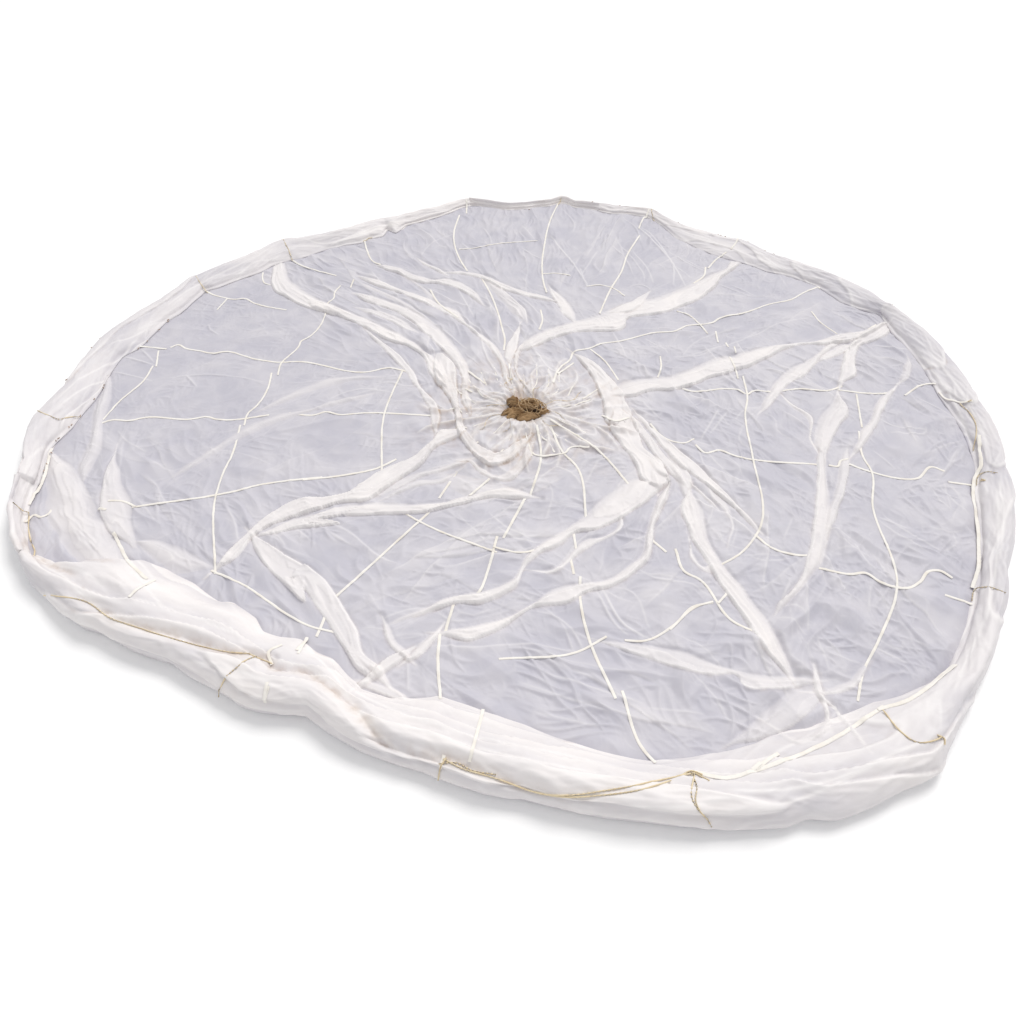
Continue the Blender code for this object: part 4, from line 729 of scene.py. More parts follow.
print("drawing the wrinkles")
crumpled, crumpleLight = layCrumple()
for kind in ("fine", "long", "billow"):
    spec = wrinkles[kind]
    rng = np.random.default_rng(spec["seed"])
    target = heights["wide" if kind == "billow" else "fine"]
    for _ in range(spec["count"]):
        turn, reach = rng.random() * fullTurn, math.sqrt(rng.random()) * 1.9
        draws = rng.random(8)
        spot = heading(turn) * reach
        if reach > radiusAt(hemRadius, spot) + 0.02 or reach < 0.12:
            continue
        place = regionTable[np.argmin(gapsTo(spot) * (0.75 + 0.5 * rng.random(len(regions))))]
        if draws[0] > place[6] * spec["least"]:
            continue
        angle = math.radians(place[2] + place[3] * (draws[1] + draws[2] + draws[3] - 1.5) * 1.3)
        if reach < 0.42 and draws[7] > reach / 0.6:
            angle = turn + 0.5 * (draws[1] - 0.5)
        half = span(spec["length"], draws[4] ** 1.6) * place[4]
        stampStroke(target, creaseHighlight, *spot, angle, half, span(spec["width"], draws[5]),
                    span(spec["height"], draws[6]) * place[5], 0.75 * half * (draws[1] - 0.5),
                    spec["bright"] * (0.35 + 0.65 * draws[6]) * (0.55 + 0.45 * place[5]))

# pleats that gather into the vent: how many round it, how far out they reach, height
gathers = ((17, 0.56, 0.0130), (33, 0.40, 0.0090), (67, 0.22, 0.0050))
pleats = {"count": 36, "seed": 33, "across": 0.076, "deep": 0.046, "nearer": 0.026, "reach": 0.11,
          "more": 0.26, "width": 0.0190}


def layGathers():
    box = window((-0.60, -0.60), (0.60, 0.60))
    px, py = cellsIn(box)
    radius, turn = np.hypot(px, py), sweepOf(np.dstack((px, py))) / fullTurn
    swing = 0.026 * noise(px / 0.15 + 9.0, py / 0.15 + 9.0, 95)
    relief, light, valley = (np.zeros_like(px) for _ in range(3))
    for number, (count, reach, rise) in enumerate(gathers):
        n = noise((turn + swing) * count, radius / 0.13 + 5.0 * number, 96 + number, wrap=count)
        fall = smooth((reach - radius) / (0.70 * reach)) * smooth((radius - 0.055) / 0.045)
        fall = fall * smooth(0.9 + 1.2 * noise(turn * 13.0, radius / 0.11, 89 + number, wrap=13))
        crest = ridges(n, 0.46, 1.15)
        relief = np.maximum(relief, rise * crest * fall)
        # painted highlight along the pleat crests, and painted shade in the valleys between them
        light = np.maximum(light, 0.45 * ridges(n, 0.17, 0.8) * np.sqrt(fall))
        valley = np.maximum(valley, (1.0 - crest) ** 2 * fall)
    heights["gather"][box], gatherShade[box] = relief, 0.40 * valley
    creaseHighlight[box] = np.maximum(creaseHighlight[box], light)
    rng = np.random.default_rng(pleats["seed"])
    run = np.linspace(0.0, 1.0, 9)
    for number in range(pleats["count"]):
        draws = rng.random(7)
        turn = fullTurn * (number + 0.8 * draws[0]) / pleats["count"]
        out = run * (pleats["reach"] + pleats["more"] * draws[1] ** 1.6)
        bend = np.sin(run * (3.0 + 3.0 * draws[3]) + 6.0 * draws[4])
        swing = turn + 0.55 * (draws[2] - 0.5) * run + 0.12 * run * bend
        line = np.column_stack(((pleats["across"] + out) * np.cos(swing),
                                (pleats["deep"] + out) * np.sin(swing) - pleats["nearer"]))
        width = pleats["width"] * (0.8 + 0.6 * draws[5])
        stampLine(heights["gather"], creaseHighlight, line, width, 0.009 + 0.010 * draws[6],
                  0.70 + 0.30 * draws[6], 1.0)
        # a lane of painted shade along one side of each pleat
        stampLine(gatherShade, gatherShade, line + (0.005, -0.004), width, 0.30 + 0.40 * draws[5], 0.0, 0.8)


layGathers()

# layers of cloth that end over each other between the folds
veils = {"count": 210, "length": (0.12, 0.44), "width": (0.030, 0.120), "height": 0.0048, "white": 0.20,
         "bright": 0.40, "seed": 21}


def layVeils():
    rise, layers = emptyGrids(2)
    rng = np.random.default_rng(veils["seed"])
    run = np.linspace(-1.0, 1.0, 7)
    for _ in range(veils["count"]):
        draws = rng.random(10)
        turn, reach = fullTurn * draws[0], 0.15 + 1.45 * draws[1] ** 0.6
        spot = heading(turn) * reach
        if reach > radiusAt(hemRadius, spot) - 0.03:
            continue
        place = regionTable[np.argmin(gapsTo(spot))]
        angle = math.radians(place[2] + place[3] * (draws[2] + draws[3] - 1.0) * 1.2)
        if reach < 0.50 and draws[9] > reach / 0.7:
            angle = turn + 0.8 * (draws[2] - 0.5)
        half = 0.5 * span(veils["length"], draws[4]) * min(place[4], 1.3)
        ahead = heading(angle)
        stray = half * (0.22 * (draws[5] - 0.5) * (run * run - 0.4)
                        + 0.03 * np.sin(5.0 * run + 6.0 * draws[6]))
        line = spot + ahead * (run * half)[:, None] + leftOf(ahead) * stray[:, None]
        width = span(veils["width"], draws[7] ** 1.5)
        strength = min(1.1, max(0.25, 0.25 + 0.75 * (place[5] - 0.6) / 0.6)) * (0.5 + 0.5 * draws[8])
        # the step gets a painted highlight along its edge, and the layer beyond it turns whiter
        stampStep(rise, creaseHighlight, line, 1.0 if draws[6] > 0.5 else -1.0, width, veils["height"] * strength,
                  veils["bright"] * strength, layers, veils["white"] * strength)
    return rise, layers


veilRise, veilLayers = layVeils()

# each drawn crease is raised and gets a painted highlight along its crest, stronger for the stronger ones
for strength, text in creaseLines:
    for line in routes(text):
        stampLine(heights["fine"], creaseHighlight, line, 0.011 + 0.004 * strength, 0.0035 + 0.0055 * strength,
                  0.10 + 0.60 * strength ** 1.5)

spec = wrinkles["roll"]
rng = np.random.default_rng(spec["seed"])
for _ in range(spec["count"]):
    draws = rng.random(8)
    turn = fullTurn * draws[0]
    ray, ahead = heading(turn), heading(turn + 0.03)
    spot = ray * span((radiusAt(hemRadius, ray), radiusAt(rimRadius, ray)), 0.02 + 0.98 * draws[1])
    further = radiusAt(hemRadius, ahead) * (1 - draws[1]) + radiusAt(rimRadius, ahead) * draws[1]
    step = ahead * further - spot
    angle = math.atan2(step[1], step[0]) + (draws[2] + draws[3] - 1.0) * 0.42
    half = span(spec["length"], draws[4] ** 1.5)
    stampStroke(heights["roll"], rollHighlight, *spot, angle, half, span(spec["width"], draws[5]),
                span(spec["height"], draws[6]), 0.10 * half * (draws[7] - 0.5),
                spec["bright"] * (0.3 + 0.7 * draws[6]))

# the folds that lie on the cloth

pleat = {
    "step": 0.0023,            # metres between the samples that lay a fold
    "runOn": 0.050,            # how far a fold runs on past its drawn ends
    "sink": 0.115,             # it sinks into the cloth over this length at each end
    "press": 0.70,             # how far the folds lie pressed down from their loose height
    "wander": 0.0045,          # how far an edge strays from its line
    "ridge": 0.0210,           # metres between the small pleats that run along it
    "ridgeHeight": 0.0040,
    "margin": 0.010,           # how far outside an edge its step and shade are worked out
    "swell": 0.25,             # unevenness of its height
}


def ranOn(points, extra):
    # a line that goes straight on at both ends
    ends = (points[0], points[1]), (points[-1], points[-2])
    first, last = (end + unit(end - before) * extra for end, before in ends)
    return np.vstack((first, points, last))


def readPly(kinds, white, rise, level, text):
    if white < 0.55:   # faint billows have no tucked edge
        kinds, rise = "ss", 0.7 * rise
    return {"kinds": kinds, "white": white, "rise": rise * pleat["press"], "level": level,
            "edges": [Curve(ranOn(line, pleat["runOn"])) for line in routes(text)]}


folds = sorted((readPly(*spec) for spec in plies.values()), key=lambda ply: ply["level"])
rng = np.random.default_rng(wrinkles["fan"]["seed"])
for ply in folds:
    length = max(edge.length for edge in ply["edges"])
    count = max(30, int(length / 0.003))
    a, b = (seenAt(edge.sampled(count), 0.8 * ply["rise"] + 0.004) for edge in ply["edges"])
    share = np.linspace(0.0, 1.0, 40)[None, :, None]
    inside = a[:, None] * (1 - share) + b[:, None] * share
    pile(cover, inside, np.full(inside.shape[:2], ply["white"]))
    # creases that run on past both ends of a fold
    for end, before in ((0, 10), (-1, -11)):
        for mix in (0.2, 0.5, 0.8):
            draws = rng.random(3)
            tip, back = (a[k] * (1 - mix) + b[k] * mix for k in (end, before))
            ahead = unit(tip - back)
            ahead = ahead + leftOf(ahead) * 0.5 * (draws[0] - 0.5)
            far = tip + ahead * (0.05 + 0.10 * draws[1])
            bent = 0.5 * (tip + far) + leftOf(ahead) * 0.02 * (draws[2] - 0.5)
            line = np.array((back, tip, bent, far))
            stampLine(heights["fine"], creaseHighlight, line, 0.012, 0.0050, 0.22 * ply["white"])
    # small creases that run out of a fold into the cloth beside it, and fainter ones that keep it company
    spec = wrinkles["fan"]
    for edge, other in ((a, b), (b, a)):
        outward = unit(edge - other)
        for _ in range(1 + int(length / 0.30)):
            draws = rng.random(5)
            first = int(draws[0] * 0.6 * count)
            last = min(count - 1, first + int((0.25 + 0.4 * draws[1]) * count))
            away = 0.007 + 0.030 * draws[2]
            line, out = edge[first:last:8], outward[first:last:8]
            line = line + out * np.linspace(away, away + 0.02 * (draws[3] - 0.3), len(line))[:, None]
            if len(line) > 3:
                stampLine(heights["fine"], creaseHighlight, line, 0.012, 0.0030 + 0.0026 * draws[4],
                          0.15 * draws[4])
        for index in range(8, count - 8, max(4, int(spec["spacing"] / 0.003))):
            draws = rng.random(5)
            tangent = edge[index + 4] - edge[index - 4]
            out = edge[index] - other[index]
            side = 1.0 if tangent[0] * out[1] - tangent[1] * out[0] > 0 else -1.0
            angle = math.atan2(tangent[1], tangent[0]) + side * (0.12 + 0.55 * draws[0])
            half = span(spec["length"], draws[1] ** 1.5)
            spot = edge[index] + heading(angle) * half * 0.75
            if draws[2] < 0.55:
                stampStroke(heights["fine"], creaseHighlight, *spot, angle, half, spec["width"],
                            spec["height"] * (0.4 + 0.6 * draws[3]), side * 0.30 * half * draws[4],
                            spec["bright"] * (0.4 + 0.6 * draws[3]))

clothLevel = {"flat": 0.0015, "least": 0.0012}   # metres above the floor

print("raising the ground sheet")
gx, gy = np.meshgrid(gridX, gridY)
flatPoints = np.stack((gx, gy), axis=-1)
fromVent = np.hypot(gx, gy)
toHem = radiusAt(hemRadius, flatPoints) - fromVent
toRim = radiusAt(rimRadius, flatPoints) - fromVent
softCover = blurred(cover, 3)
clear = 1.0 - 0.70 * clamp(softCover)   # the folds press the wrinkles under them flat
wideCover = blurred(softCover[::3, ::3], 14).repeat(3, 0).repeat(3, 1)[:cover.shape[0], :cover.shape[1]]
wideCover = blurred(clamp(wideCover), 4)
quiet = smooth((toHem + 0.03) / 0.06)   # nothing lies under the roll
gatherRise = (0.012 * smooth((0.19 - fromVent) / 0.09) * smooth((fromVent - 0.05) / 0.05)
              + 0.004 * smooth((0.34 - fromVent) / 0.20))
relief = np.maximum(blurred(heights["fine"], 1), crumpled) + 0.4 * crumpled + 0.75 * heights["wide"]
sheetTop = clothLevel["flat"] + quiet * clear * relief + heights["gather"] + gatherRise
sheetTop = np.where(toHem < -0.05, clothLevel["flat"], sheetTop) + veilRise * quiet * clear
top = np.where(toRim > 0.0, sheetTop, 0.0)

# how white the cloth is: faint veils, the layers by the folds, and the gathers at the vent
veil = (0.10 * smooth(0.5 + 1.4 * noise(gx / 0.24 + 3.0, gy / 0.24 + 8.0, 41))
        + 0.08 * smooth(0.5 + 1.6 * noise(gx / 0.07, gy / 0.07, 42)) + veilLayers * quiet * clear)
nearVent = 0.22 * smooth((0.40 - fromVent) / 0.26) * (0.75 + 0.5 * noise(gx / 0.05, gy / 0.05, 43))
sheetLayers = veil + 0.12 * wideCover + 0.08 * smooth((0.62 - fromVent) / 0.40) + nearVent
# tan: yellowing near the vent, and painted shade in and beside the gathered pleats
sheetGrimeAndShade = 0.30 * smooth((0.13 - fromVent) / 0.06) + 0.62 * gatherShade

# the rolled skirt

# from the outer foot over the top to the inner edge: metres inward, share of the width, share of the height,
# metres up, and the row of the mesh that it falls on
rollSection = np.array((
    (0.014, 0, 0, 0.0015, 0), (0.004, 0, 0.10, 0, 3), (0, 0, 0.34, 0, 6), (0.004, 0, 0.60, 0, 10),
    (0.015, 0.02, 0.84, 0, 15), (0.012, 0.10, 0.97, 0, 23), (0, 0.30, 1, 0, 32), (0, 0.46, 0.88, 0, 40),
    (0, 0.62, 0.68, 0, 48), (0, 0.80, 0.42, 0.002, 56), (-0.012, 1, 0.16, 0.004, 67),
    (-0.003, 1, 0.12, 0.003, 72), (0, 1, 0.07, 0.002, 76), (-0.006, 1, 0.02, 0.001, 80),
    (-0.030, 1, 0, 0.001, 84),
))
# how many layers lie in the roll, as whiteness, from the right round by the back, the left and the front; the
# two at the back are set high as painted light on the roll's face there, which lies in shade
rollTones = np.array((0.44, 0.48, 0.60, 0.92, 0.96, 0.66, 0.52, 0.54, 0.60, 0.72, 0.78, 0.80, 0.74, 0.68,
                      0.58, 0.48))


def rollProfile(level):
    # how far from the vent and how high each row of the roll lies, all the way round
    rows = np.arange(rollShape["rows"] + 1, dtype=float)
    nodes = rollSection[:, 4]
    index = np.clip(np.searchsorted(nodes, rows, side="right") - 1, 0, len(nodes) - 2)
    t = ((rows - nodes[index]) / (nodes[index + 1] - nodes[index]))[:, None]

    def through(values):
        # a smooth curve through the section's points
        padded = np.vstack((values[:1], values, values[-1:]))
        p0, p1, p2, p3 = (padded[index + i] for i in range(4))
        return 0.5 * (2 * p1 + (p2 - p0) * t + (2 * p0 - 5 * p1 + 4 * p2 - p3) * t**2
                      + (3 * p1 - p0 - 3 * p2 + p3) * t**3)

    inward = through(rollSection[:, 0, None] + rollSection[:, 1, None] * (rimRadius - hemRadius)[None])
    up = through(rollSection[:, 2, None] * level[None] + rollSection[:, 3, None])
    return rows[:, None], rimRadius[None] - inward, up


def edgeAndGrooves():
    # painted light along the edges of the rolled layers, and how deep the grooves between them are
    groove = np.zeros_like(rollHighlight)
    for white, outward, text in rollLayers:
        for line in routes(text):
            line = seenAt(line, 0.8 * rollHeight(sweepOf(line)))
            normal = leftOf(unit(np.gradient(line, axis=0)))
            facing = np.sign((normal * unit(line)).sum(axis=1).mean()) * outward
            stampStep(groove, rollHighlight, line, facing, 0.03, 0.0, 0.95 * white)   # light, no rise
    for line in routes(grooveLines):
        stampLine(groove, groove, seenAt(line, 0.05), 0.026, 0.021, 0.0, 1.0)
    return groove


def makeRoll():
    turn = loopSweep / fullTurn
    ray = np.column_stack((np.cos(loopSweep), np.sin(loopSweep)))
    level = 1.0 + 0.10 * wave(turn * 26.0, 2.5, 602, 26) + 0.04 * wave(turn * 90.0, 4.5, 603, 90)
    level = 0.94 * rollHeight(loopSweep) * level
    rows, reach, up = rollProfile(level)
    run = np.gradient(reach, axis=0), np.gradient(up, axis=0)
    length = np.maximum(np.hypot(*run), 1e-6)
    outR, outZ = -run[1] / length, run[0] / length
    flip = np.where(outZ[rollShape["crest"]] < 0, -1.0, 1.0)
    outR, outZ = outR * flip, outZ * flip
    arc = np.cumsum(length, axis=0)
    around = np.broadcast_to(turn[None], reach.shape)
    points = ray[None] * reach[..., None]
    upper = smooth((rows - 8.0) / 10.0) * smooth((rollShape["rows"] - rows) / 12.0)
    side = smooth((rows - 2.0) / 5.0) * smooth((82.0 - rows) / 6.0)
    long = noise(around * 60.0 + arc * 9.0, arc / 0.055, 604, wrap=60)
    lines = noise(around * 110.0 - arc * 16.0, arc / 0.020 + 30.0, 605, wrap=110)
    crest = smooth(1.0 - np.abs(lines) / 0.35)
    scale = np.clip(level / 0.06, 0.5, 1.1)[None]
    # the rolled layers end over each other along wandering lines
    wander = (3.3 * noise(around * 9.0 + arc * 0.9, arc / 0.21 + 10.0, 612, wrap=9)
              + 0.22 * noise(around * 50.0, arc / 0.08, 609, wrap=50))
    fall = wander - np.floor(wander)
    layer = (1.0 - fall) * smooth(fall / 0.12)
    lip = bump(fall, 0.10, 0.05)
    inside = smooth((70.0 - rows) / 16.0)
    push = side * scale * (0.0034 * long + 0.0010 * crest * inside + 0.0075 * layer * inside)
    push = push + upper * read(heights["roll"], points)
    dip = read(edgeAndGrooves(), points) * upper
    reach = reach + outR * push
    up = np.maximum(up + outZ * push - dip, clothLevel["least"])
    points = ray[None] * reach[..., None]
    # painted highlights: on the roll's wrinkles and layer edges above, on the crest lines lower down on both
    # sides, and on each rolled layer's lip
    paint = np.maximum(read(rollHighlight, points) * upper, 0.40 * crest * side * (1.0 - upper))
    paint = np.maximum(paint, 0.55 * lip * side)
    # tone: the roll's layers, random change, painted light on the raised edge of each rolled layer with
    # painted shade where it runs under the next, and darker towards the foot and the inner edge
    low = byAngle(fullTurn * (np.arange(len(rollTones)) + 0.5) / len(rollTones), rollTones, loopSweep)[None]
    tone = low + 0.22 * noise(around * 40.0, arc / 0.08, 607, wrap=40) + 0.36 * (layer - 0.5)
    tone = tone * (0.55 + 0.45 * side)
    patchy = smooth(0.5 + 1.5 * noise(around * 30.0, arc / 0.2, 613, wrap=30))
    # tan: more the deeper a groove, painted shade where each rolled layer runs under the next, and a patchy
    # painted shadow along the foot of each layer's edge
    grimeAndShade = (0.34 * clamp(dip / 0.018) ** 2 + 0.05 * side * (1.0 - layer)
             + 0.16 * side * bump(fall, 0.03, 0.03) * patchy)
    return np.dstack((points, up)), tone, paint, grimeAndShade, upper


print("rolling the skirt")
rollGrid, rollTone, rollCrestHighlight, rollGrimeAndShade, rollMask = makeRoll()


def fillHoles(values):
    # cells that the falling points missed take the mean of the filled ones around them
    empty = values <= 0.0
    total, count = emptyGrids(2)
    for step in [(i, j) for i in (-1, 0, 1) for j in (-1, 0, 1)]:
        full = ~np.roll(empty, step, (0, 1))
        total += np.roll(values, step, (0, 1)) * full
        count += full
    return np.where(empty & (count > 2), total / np.maximum(count, 1), values)


rollTop = np.zeros_like(top)
for grid in (rollGrid[4:], 0.5 * (rollGrid[4:] + np.roll(rollGrid[4:], -1, axis=1))):
    pile(rollTop, grid[..., :2], grid[..., 2])
top = np.maximum(top, fillHoles(fillHoles(rollTop)))

# tapes

tape = {"half": 0.0042, "ringHalf": 0.0036, "skirtHalf": 0.0050, "ventHalf": 0.0019, "bindingHalf": 0.0030,
        "thick": 0.0007, "wiggle": 0.0018, "station": 0.005, "tuckedEnd": 0.014, "ventRing": 0.085,
        "ventSink": 0.0022, "bindingOut": 0.005, "bindingRise": 0.0030}


def onTop(seen, extra=0.0, passes=3):
    # bring a line drawn on the floor up to the cloth that it lies on
    points = seen
    for _ in range(3):
        points = seenAt(seen, blurred(read(top, points), passes, (0,)) + extra)
    return points


def tapeStrip(line, half, seed, narrow=(1.0, 1.0), seen=True, calm=3):
    curve = Curve(line)
    place = np.linspace(0.0, curve.length, max(5, int(curve.length / tape["station"])))
    centre = curve.at(place)
    if seen:
        centre = onTop(centre, passes=calm)
    within = radiusAt(rimRadius, centre) - np.hypot(*centre.T) > 0.004
    if within.sum() > 4:
        centre, place = centre[within], place[within]
    normal = leftOf(unit(np.gradient(centre, axis=0)))
    left = 1.0 if centre[:, 0].mean() < -0.1 else 0.45
    if half < 0.005:
        left *= 0.4
    centre = centre + normal * (tape["wiggle"] * left * wave(place / 0.021, 0.5, seed))[:, None]
    width = half * np.interp(place, (0.0, curve.length), narrow)
    width = width * (1.0 + 0.10 * wave(place / 0.05, 3.5, seed))
    sides = np.array((-1.0, -0.92, -0.4, 0.0, 0.4, 0.92, 1.0))
    lift = np.array((0.0, 0.85, 1.0, 1.05, 1.0, 0.85, 0.0)) * tape["thick"]
    points = centre[:, None] + normal[:, None] * (sides[None] * width[:, None])[..., None]
    reach = np.maximum(read(top, points), read(top, points + normal[:, None] * 0.002))
    level = reach.max(axis=1, keepdims=True) * 0.6 + reach * 0.4
    level = np.maximum(blurred(level, 2, (0,)), reach) + 0.0004
    pucker = 0.0012 * left * clamp(wave(place / 0.014, 6.5, seed))[:, None]
    return np.dstack((points, level + lift[None] + pucker)), place


def isCovered(line):
    return read(cover, Curve(line).sampled(5)[1:4]).mean() > 0.45


def longer(line):
    # a tape that runs on under the folds at both ends
    long = ranOn(line, tape["tuckedEnd"])
    return np.delete(long, (1, -2), axis=0) if len(line) > 2 else line


print("laying the tapes")
tapeParts = {}


def layTapes(covered):
    for number, (name, text) in enumerate(tapeRoutes.items()):
        half = tape[{"skirt": "skirtHalf", "ring": "ringHalf"}.get(name.split("_")[0], "half")]
        for k, line in enumerate(routes(text)):
            if isCovered(line) != covered:
                continue
            calm = 200 if name.startswith(("skirt", "roll")) else 3
            part = tapeStrip(line if covered else longer(line), half, 300 + number * 20 + k, calm=calm)
            tapeParts.setdefault(name, []).append(part)
            pile(top, part[0][..., :2], part[0][..., 2])


layTapes(False)

print("laying the folds")
plyRise, plyTone, plyHighlight, plyStainAndShade = emptyGrids(4)


def underFold(a, b, place, wide):
    # every grid cell under a fold and its margin: place along it, and across it from 0 to 1 between the edges
    both = np.vstack((a, b))
    box = window(both.min(axis=0) - 0.02, both.max(axis=0) + 0.02)
    rows, columns = box[0].stop - box[0].start, box[1].stop - box[1].start
    beyond = pleat["margin"] / np.maximum(wide, 0.006)[:, None]
    across = np.linspace(0.0, 1.0, max(10, int((wide.max() + 0.02) / pleat["step"])))[None]
    across = -beyond + (1.0 + 2.0 * beyond) * across
    points = a[:, None] * (1 - across)[..., None] + b[:, None] * across[..., None]
    i = nearestCell(points[..., 1], gridY[box[0].start], rows)
    j = nearestCell(points[..., 0], gridX[box[1].start], columns)
    cell = (i * columns + j).ravel()
    filled = np.bincount(cell, minlength=rows * columns)
    parts = []
    for values in (np.broadcast_to(place[:, None], i.shape), across):
        mean = np.bincount(cell, values.ravel(), rows * columns) / np.maximum(filled, 1)
        parts.append(mean.reshape(rows, columns))
    return box, (filled > 0).reshape(rows, columns).astype(float), parts[0], parts[1]


def layPly(ply, seed):
    length = max(edge.length for edge in ply["edges"])
    place = np.linspace(0.0, length, max(20, int(length / pleat["step"])))
    seen = []
    for k, edge in enumerate(ply["edges"]):
        line = edge.sampled(len(place))
        stray = wave(place / 0.075, 0.5 + k, seed)
        seen.append(line + leftOf(unit(np.gradient(line, axis=0))) * (pleat["wander"] * stray)[:, None])
    ends = smooth(np.minimum(place, length - place) / min(pleat["sink"], 0.33 * length))
    pinch = 0.40 * (1.0 - ends)[:, None]
    seen = [seen[0] + (seen[1] - seen[0]) * pinch, seen[1] + (seen[0] - seen[1]) * pinch]
    wide = np.linalg.norm(seen[0] - seen[1], axis=1)
    high = ply["rise"] * (0.12 + 0.88 * ends) * np.clip(wide / (1.6 * ply["rise"]), 0.15, 1.0)
    high = high * (1.0 + pleat["swell"] * wave(place / 0.09, 9.5, seed))
    edges = [onTop(line, (0.7 if kind == "c" else 0.2) * high, 10) for kind, line in zip(ply["kinds"], seen)]
    box, filled, run, u = underFold(*edges, place, np.linalg.norm(edges[0] - edges[1], axis=1))
    width, rise, sink = (np.interp(run, place, values) for values in (wide, high, ends))
    fade = filled * smooth(run / (0.014 + 0.3 * width)) * smooth((length - run) / (0.014 + 0.3 * width))
    share, edgeLight, shade = fade.copy(), np.zeros_like(fade), np.zeros_like(fade)
    # a crisp edge gets a painted highlight just inside it and a painted shadow just outside it
    for kind, gap in zip(ply["kinds"], (u * width, (1.0 - u) * width)):
        if kind == "c":
            share *= smooth((gap + 0.0022) / 0.0062)
            edgeLight = np.maximum(edgeLight, bump(gap, 0.0022, 0.0030) * fade)
            shade = np.maximum(shade, bump(gap, -0.0040, 0.0032) * fade)
        else:
            share *= smooth(gap / np.maximum(0.46 * width, 0.012))
    inside = (share > 0.0) * fade
    u = clamp(u)
    t = u * np.median(wide) / pleat["ridge"]
    bend = noise(run / 0.22 + 20.0, t * 0.35 + 20.0, seed + 1)
    n = noise(run / 0.19 + 20.0, t + 0.8 * bend + 20.0, seed + 2)
    crest = ridges(n, 0.45, 1.3) * smooth(0.4 + 1.6 * noise(run / 0.13, t * 0.4 + 30.0, seed + 3))
    # one layer ends over the next along a wandering line
    wander = (2.2 if wide.max() > 0.045 else 1.2) * noise(run / 0.45 + 20.0, u * 1.5 + 20.0, seed + 4)
    fall = wander - np.floor(wander)
    layer = (1.0 - fall) * smooth(fall / 0.08)
    lip = bump(fall, 0.08, 0.035)
    body = rise * share * (0.80 + 0.20 * layer)
    body = body + np.minimum(pleat["ridgeHeight"], 0.45 * rise) * crest * share
    cloudy = 0.94 + 0.12 * noise(run / 0.16 + 7.0, u * 2.0 + 7.0, seed + 5)
    white = 0.97 * ply["white"] * (0.25 + 0.75 * share ** 0.4) * cloudy * (0.80 + 0.20 * layer)
    white = white * (0.50 + 0.50 * sink) * inside
    # painted highlights: the crisp edges, the crests of the small pleats and each layer's lip
    paint = np.maximum(edgeLight * (0.35 + 0.65 * sink) * ply["white"], (0.16 * crest + 0.30 * lip) * share)
    near = smooth((0.50 - fromVent[box]) / 0.35)
    # tan between the small pleats, much stronger near the vent, as stain and painted shade, and a painted
    # shadow just outside each crisp edge
    dirtAndShade = inside * (0.03 + 0.45 * near) * (1.0 - crest) * (1.0 - share * 0.7)
    dirtAndShade = dirtAndShade + shade * (0.14 + 0.34 * near) * ply["white"]
    plyRise[box] += body
    top[box] += body
    hide = 1.0 - 0.85 * share
    plyTone[box] = 1.0 - (1.0 - plyTone[box]) * (1.0 - np.clip(white, 0.0, 0.97))
    plyHighlight[box] = np.maximum(plyHighlight[box] * hide, paint)
    plyStainAndShade[box] = plyStainAndShade[box] * hide + dirtAndShade
    creaseHighlight[box] *= hide


for number, ply in enumerate(folds):
    layPly(ply, 1000 + 50 * number)

# the roll takes up the folds that reach over it
riseOnRoll, toneOnRoll, highlightOnRoll = (read(values, rollGrid[..., :2]) * rollMask
                                        for values in (plyRise, plyTone, plyHighlight))
rollGrid[..., 2] += riseOnRoll
rollTone = 1.0 - (1.0 - rollTone) * (1.0 - 0.6 * toneOnRoll)
rollCrestHighlight = np.maximum(rollCrestHighlight * (1.0 - np.clip(riseOnRoll / 0.006, 0.0, 0.8)), highlightOnRoll)

layTapes(True)

# materials

def linear(hexColour):
    values = [int(hexColour[i:i + 2], 16) / 255.0 for i in (1, 3, 5)]
    return tuple(v / 12.92 if v <= 0.04045 else ((v + 0.055) / 1.055) ** 2.4 for v in values) + (1.0,)


def addNode(tree, kind, settings=None, inputs=None, links=None):
    # one node, its settings, fixed input values and incoming links; a node stands for its first output
    node = tree.nodes.new(kind)
    for key, value in (settings or {}).items():
        setattr(node, key, value)
    for key, value in (inputs or {}).items():
        node.inputs[key].default_value = value
    for key, source in (links or {}).items():
        tree.links.new(getattr(source, "outputs", (source,))[0], node.inputs[key])
    return node


def newMaterial(name, values):
    material = bpy.data.materials.new(name)
    material.use_nodes = True
    tree = material.node_tree
    shader = tree.nodes["Principled BSDF"]
    for key, value in values.items():
        shader.inputs[key].default_value = value
    return material, tree, shader


# grime is the tan of the cloth's yellowing and of its painted shade; creaseLight is the painted highlight
clothFinish = {
    "oneLayer": "#c5c3cd", "manyLayers": "#f8f3f1", "creaseLight": "#fcf9f8", "grimeAndShade": "#a8814d",
    "opacity": 0.92, "roughness": 0.60, "sheen": 0.15, "threadSpacing": 0.0016,
}


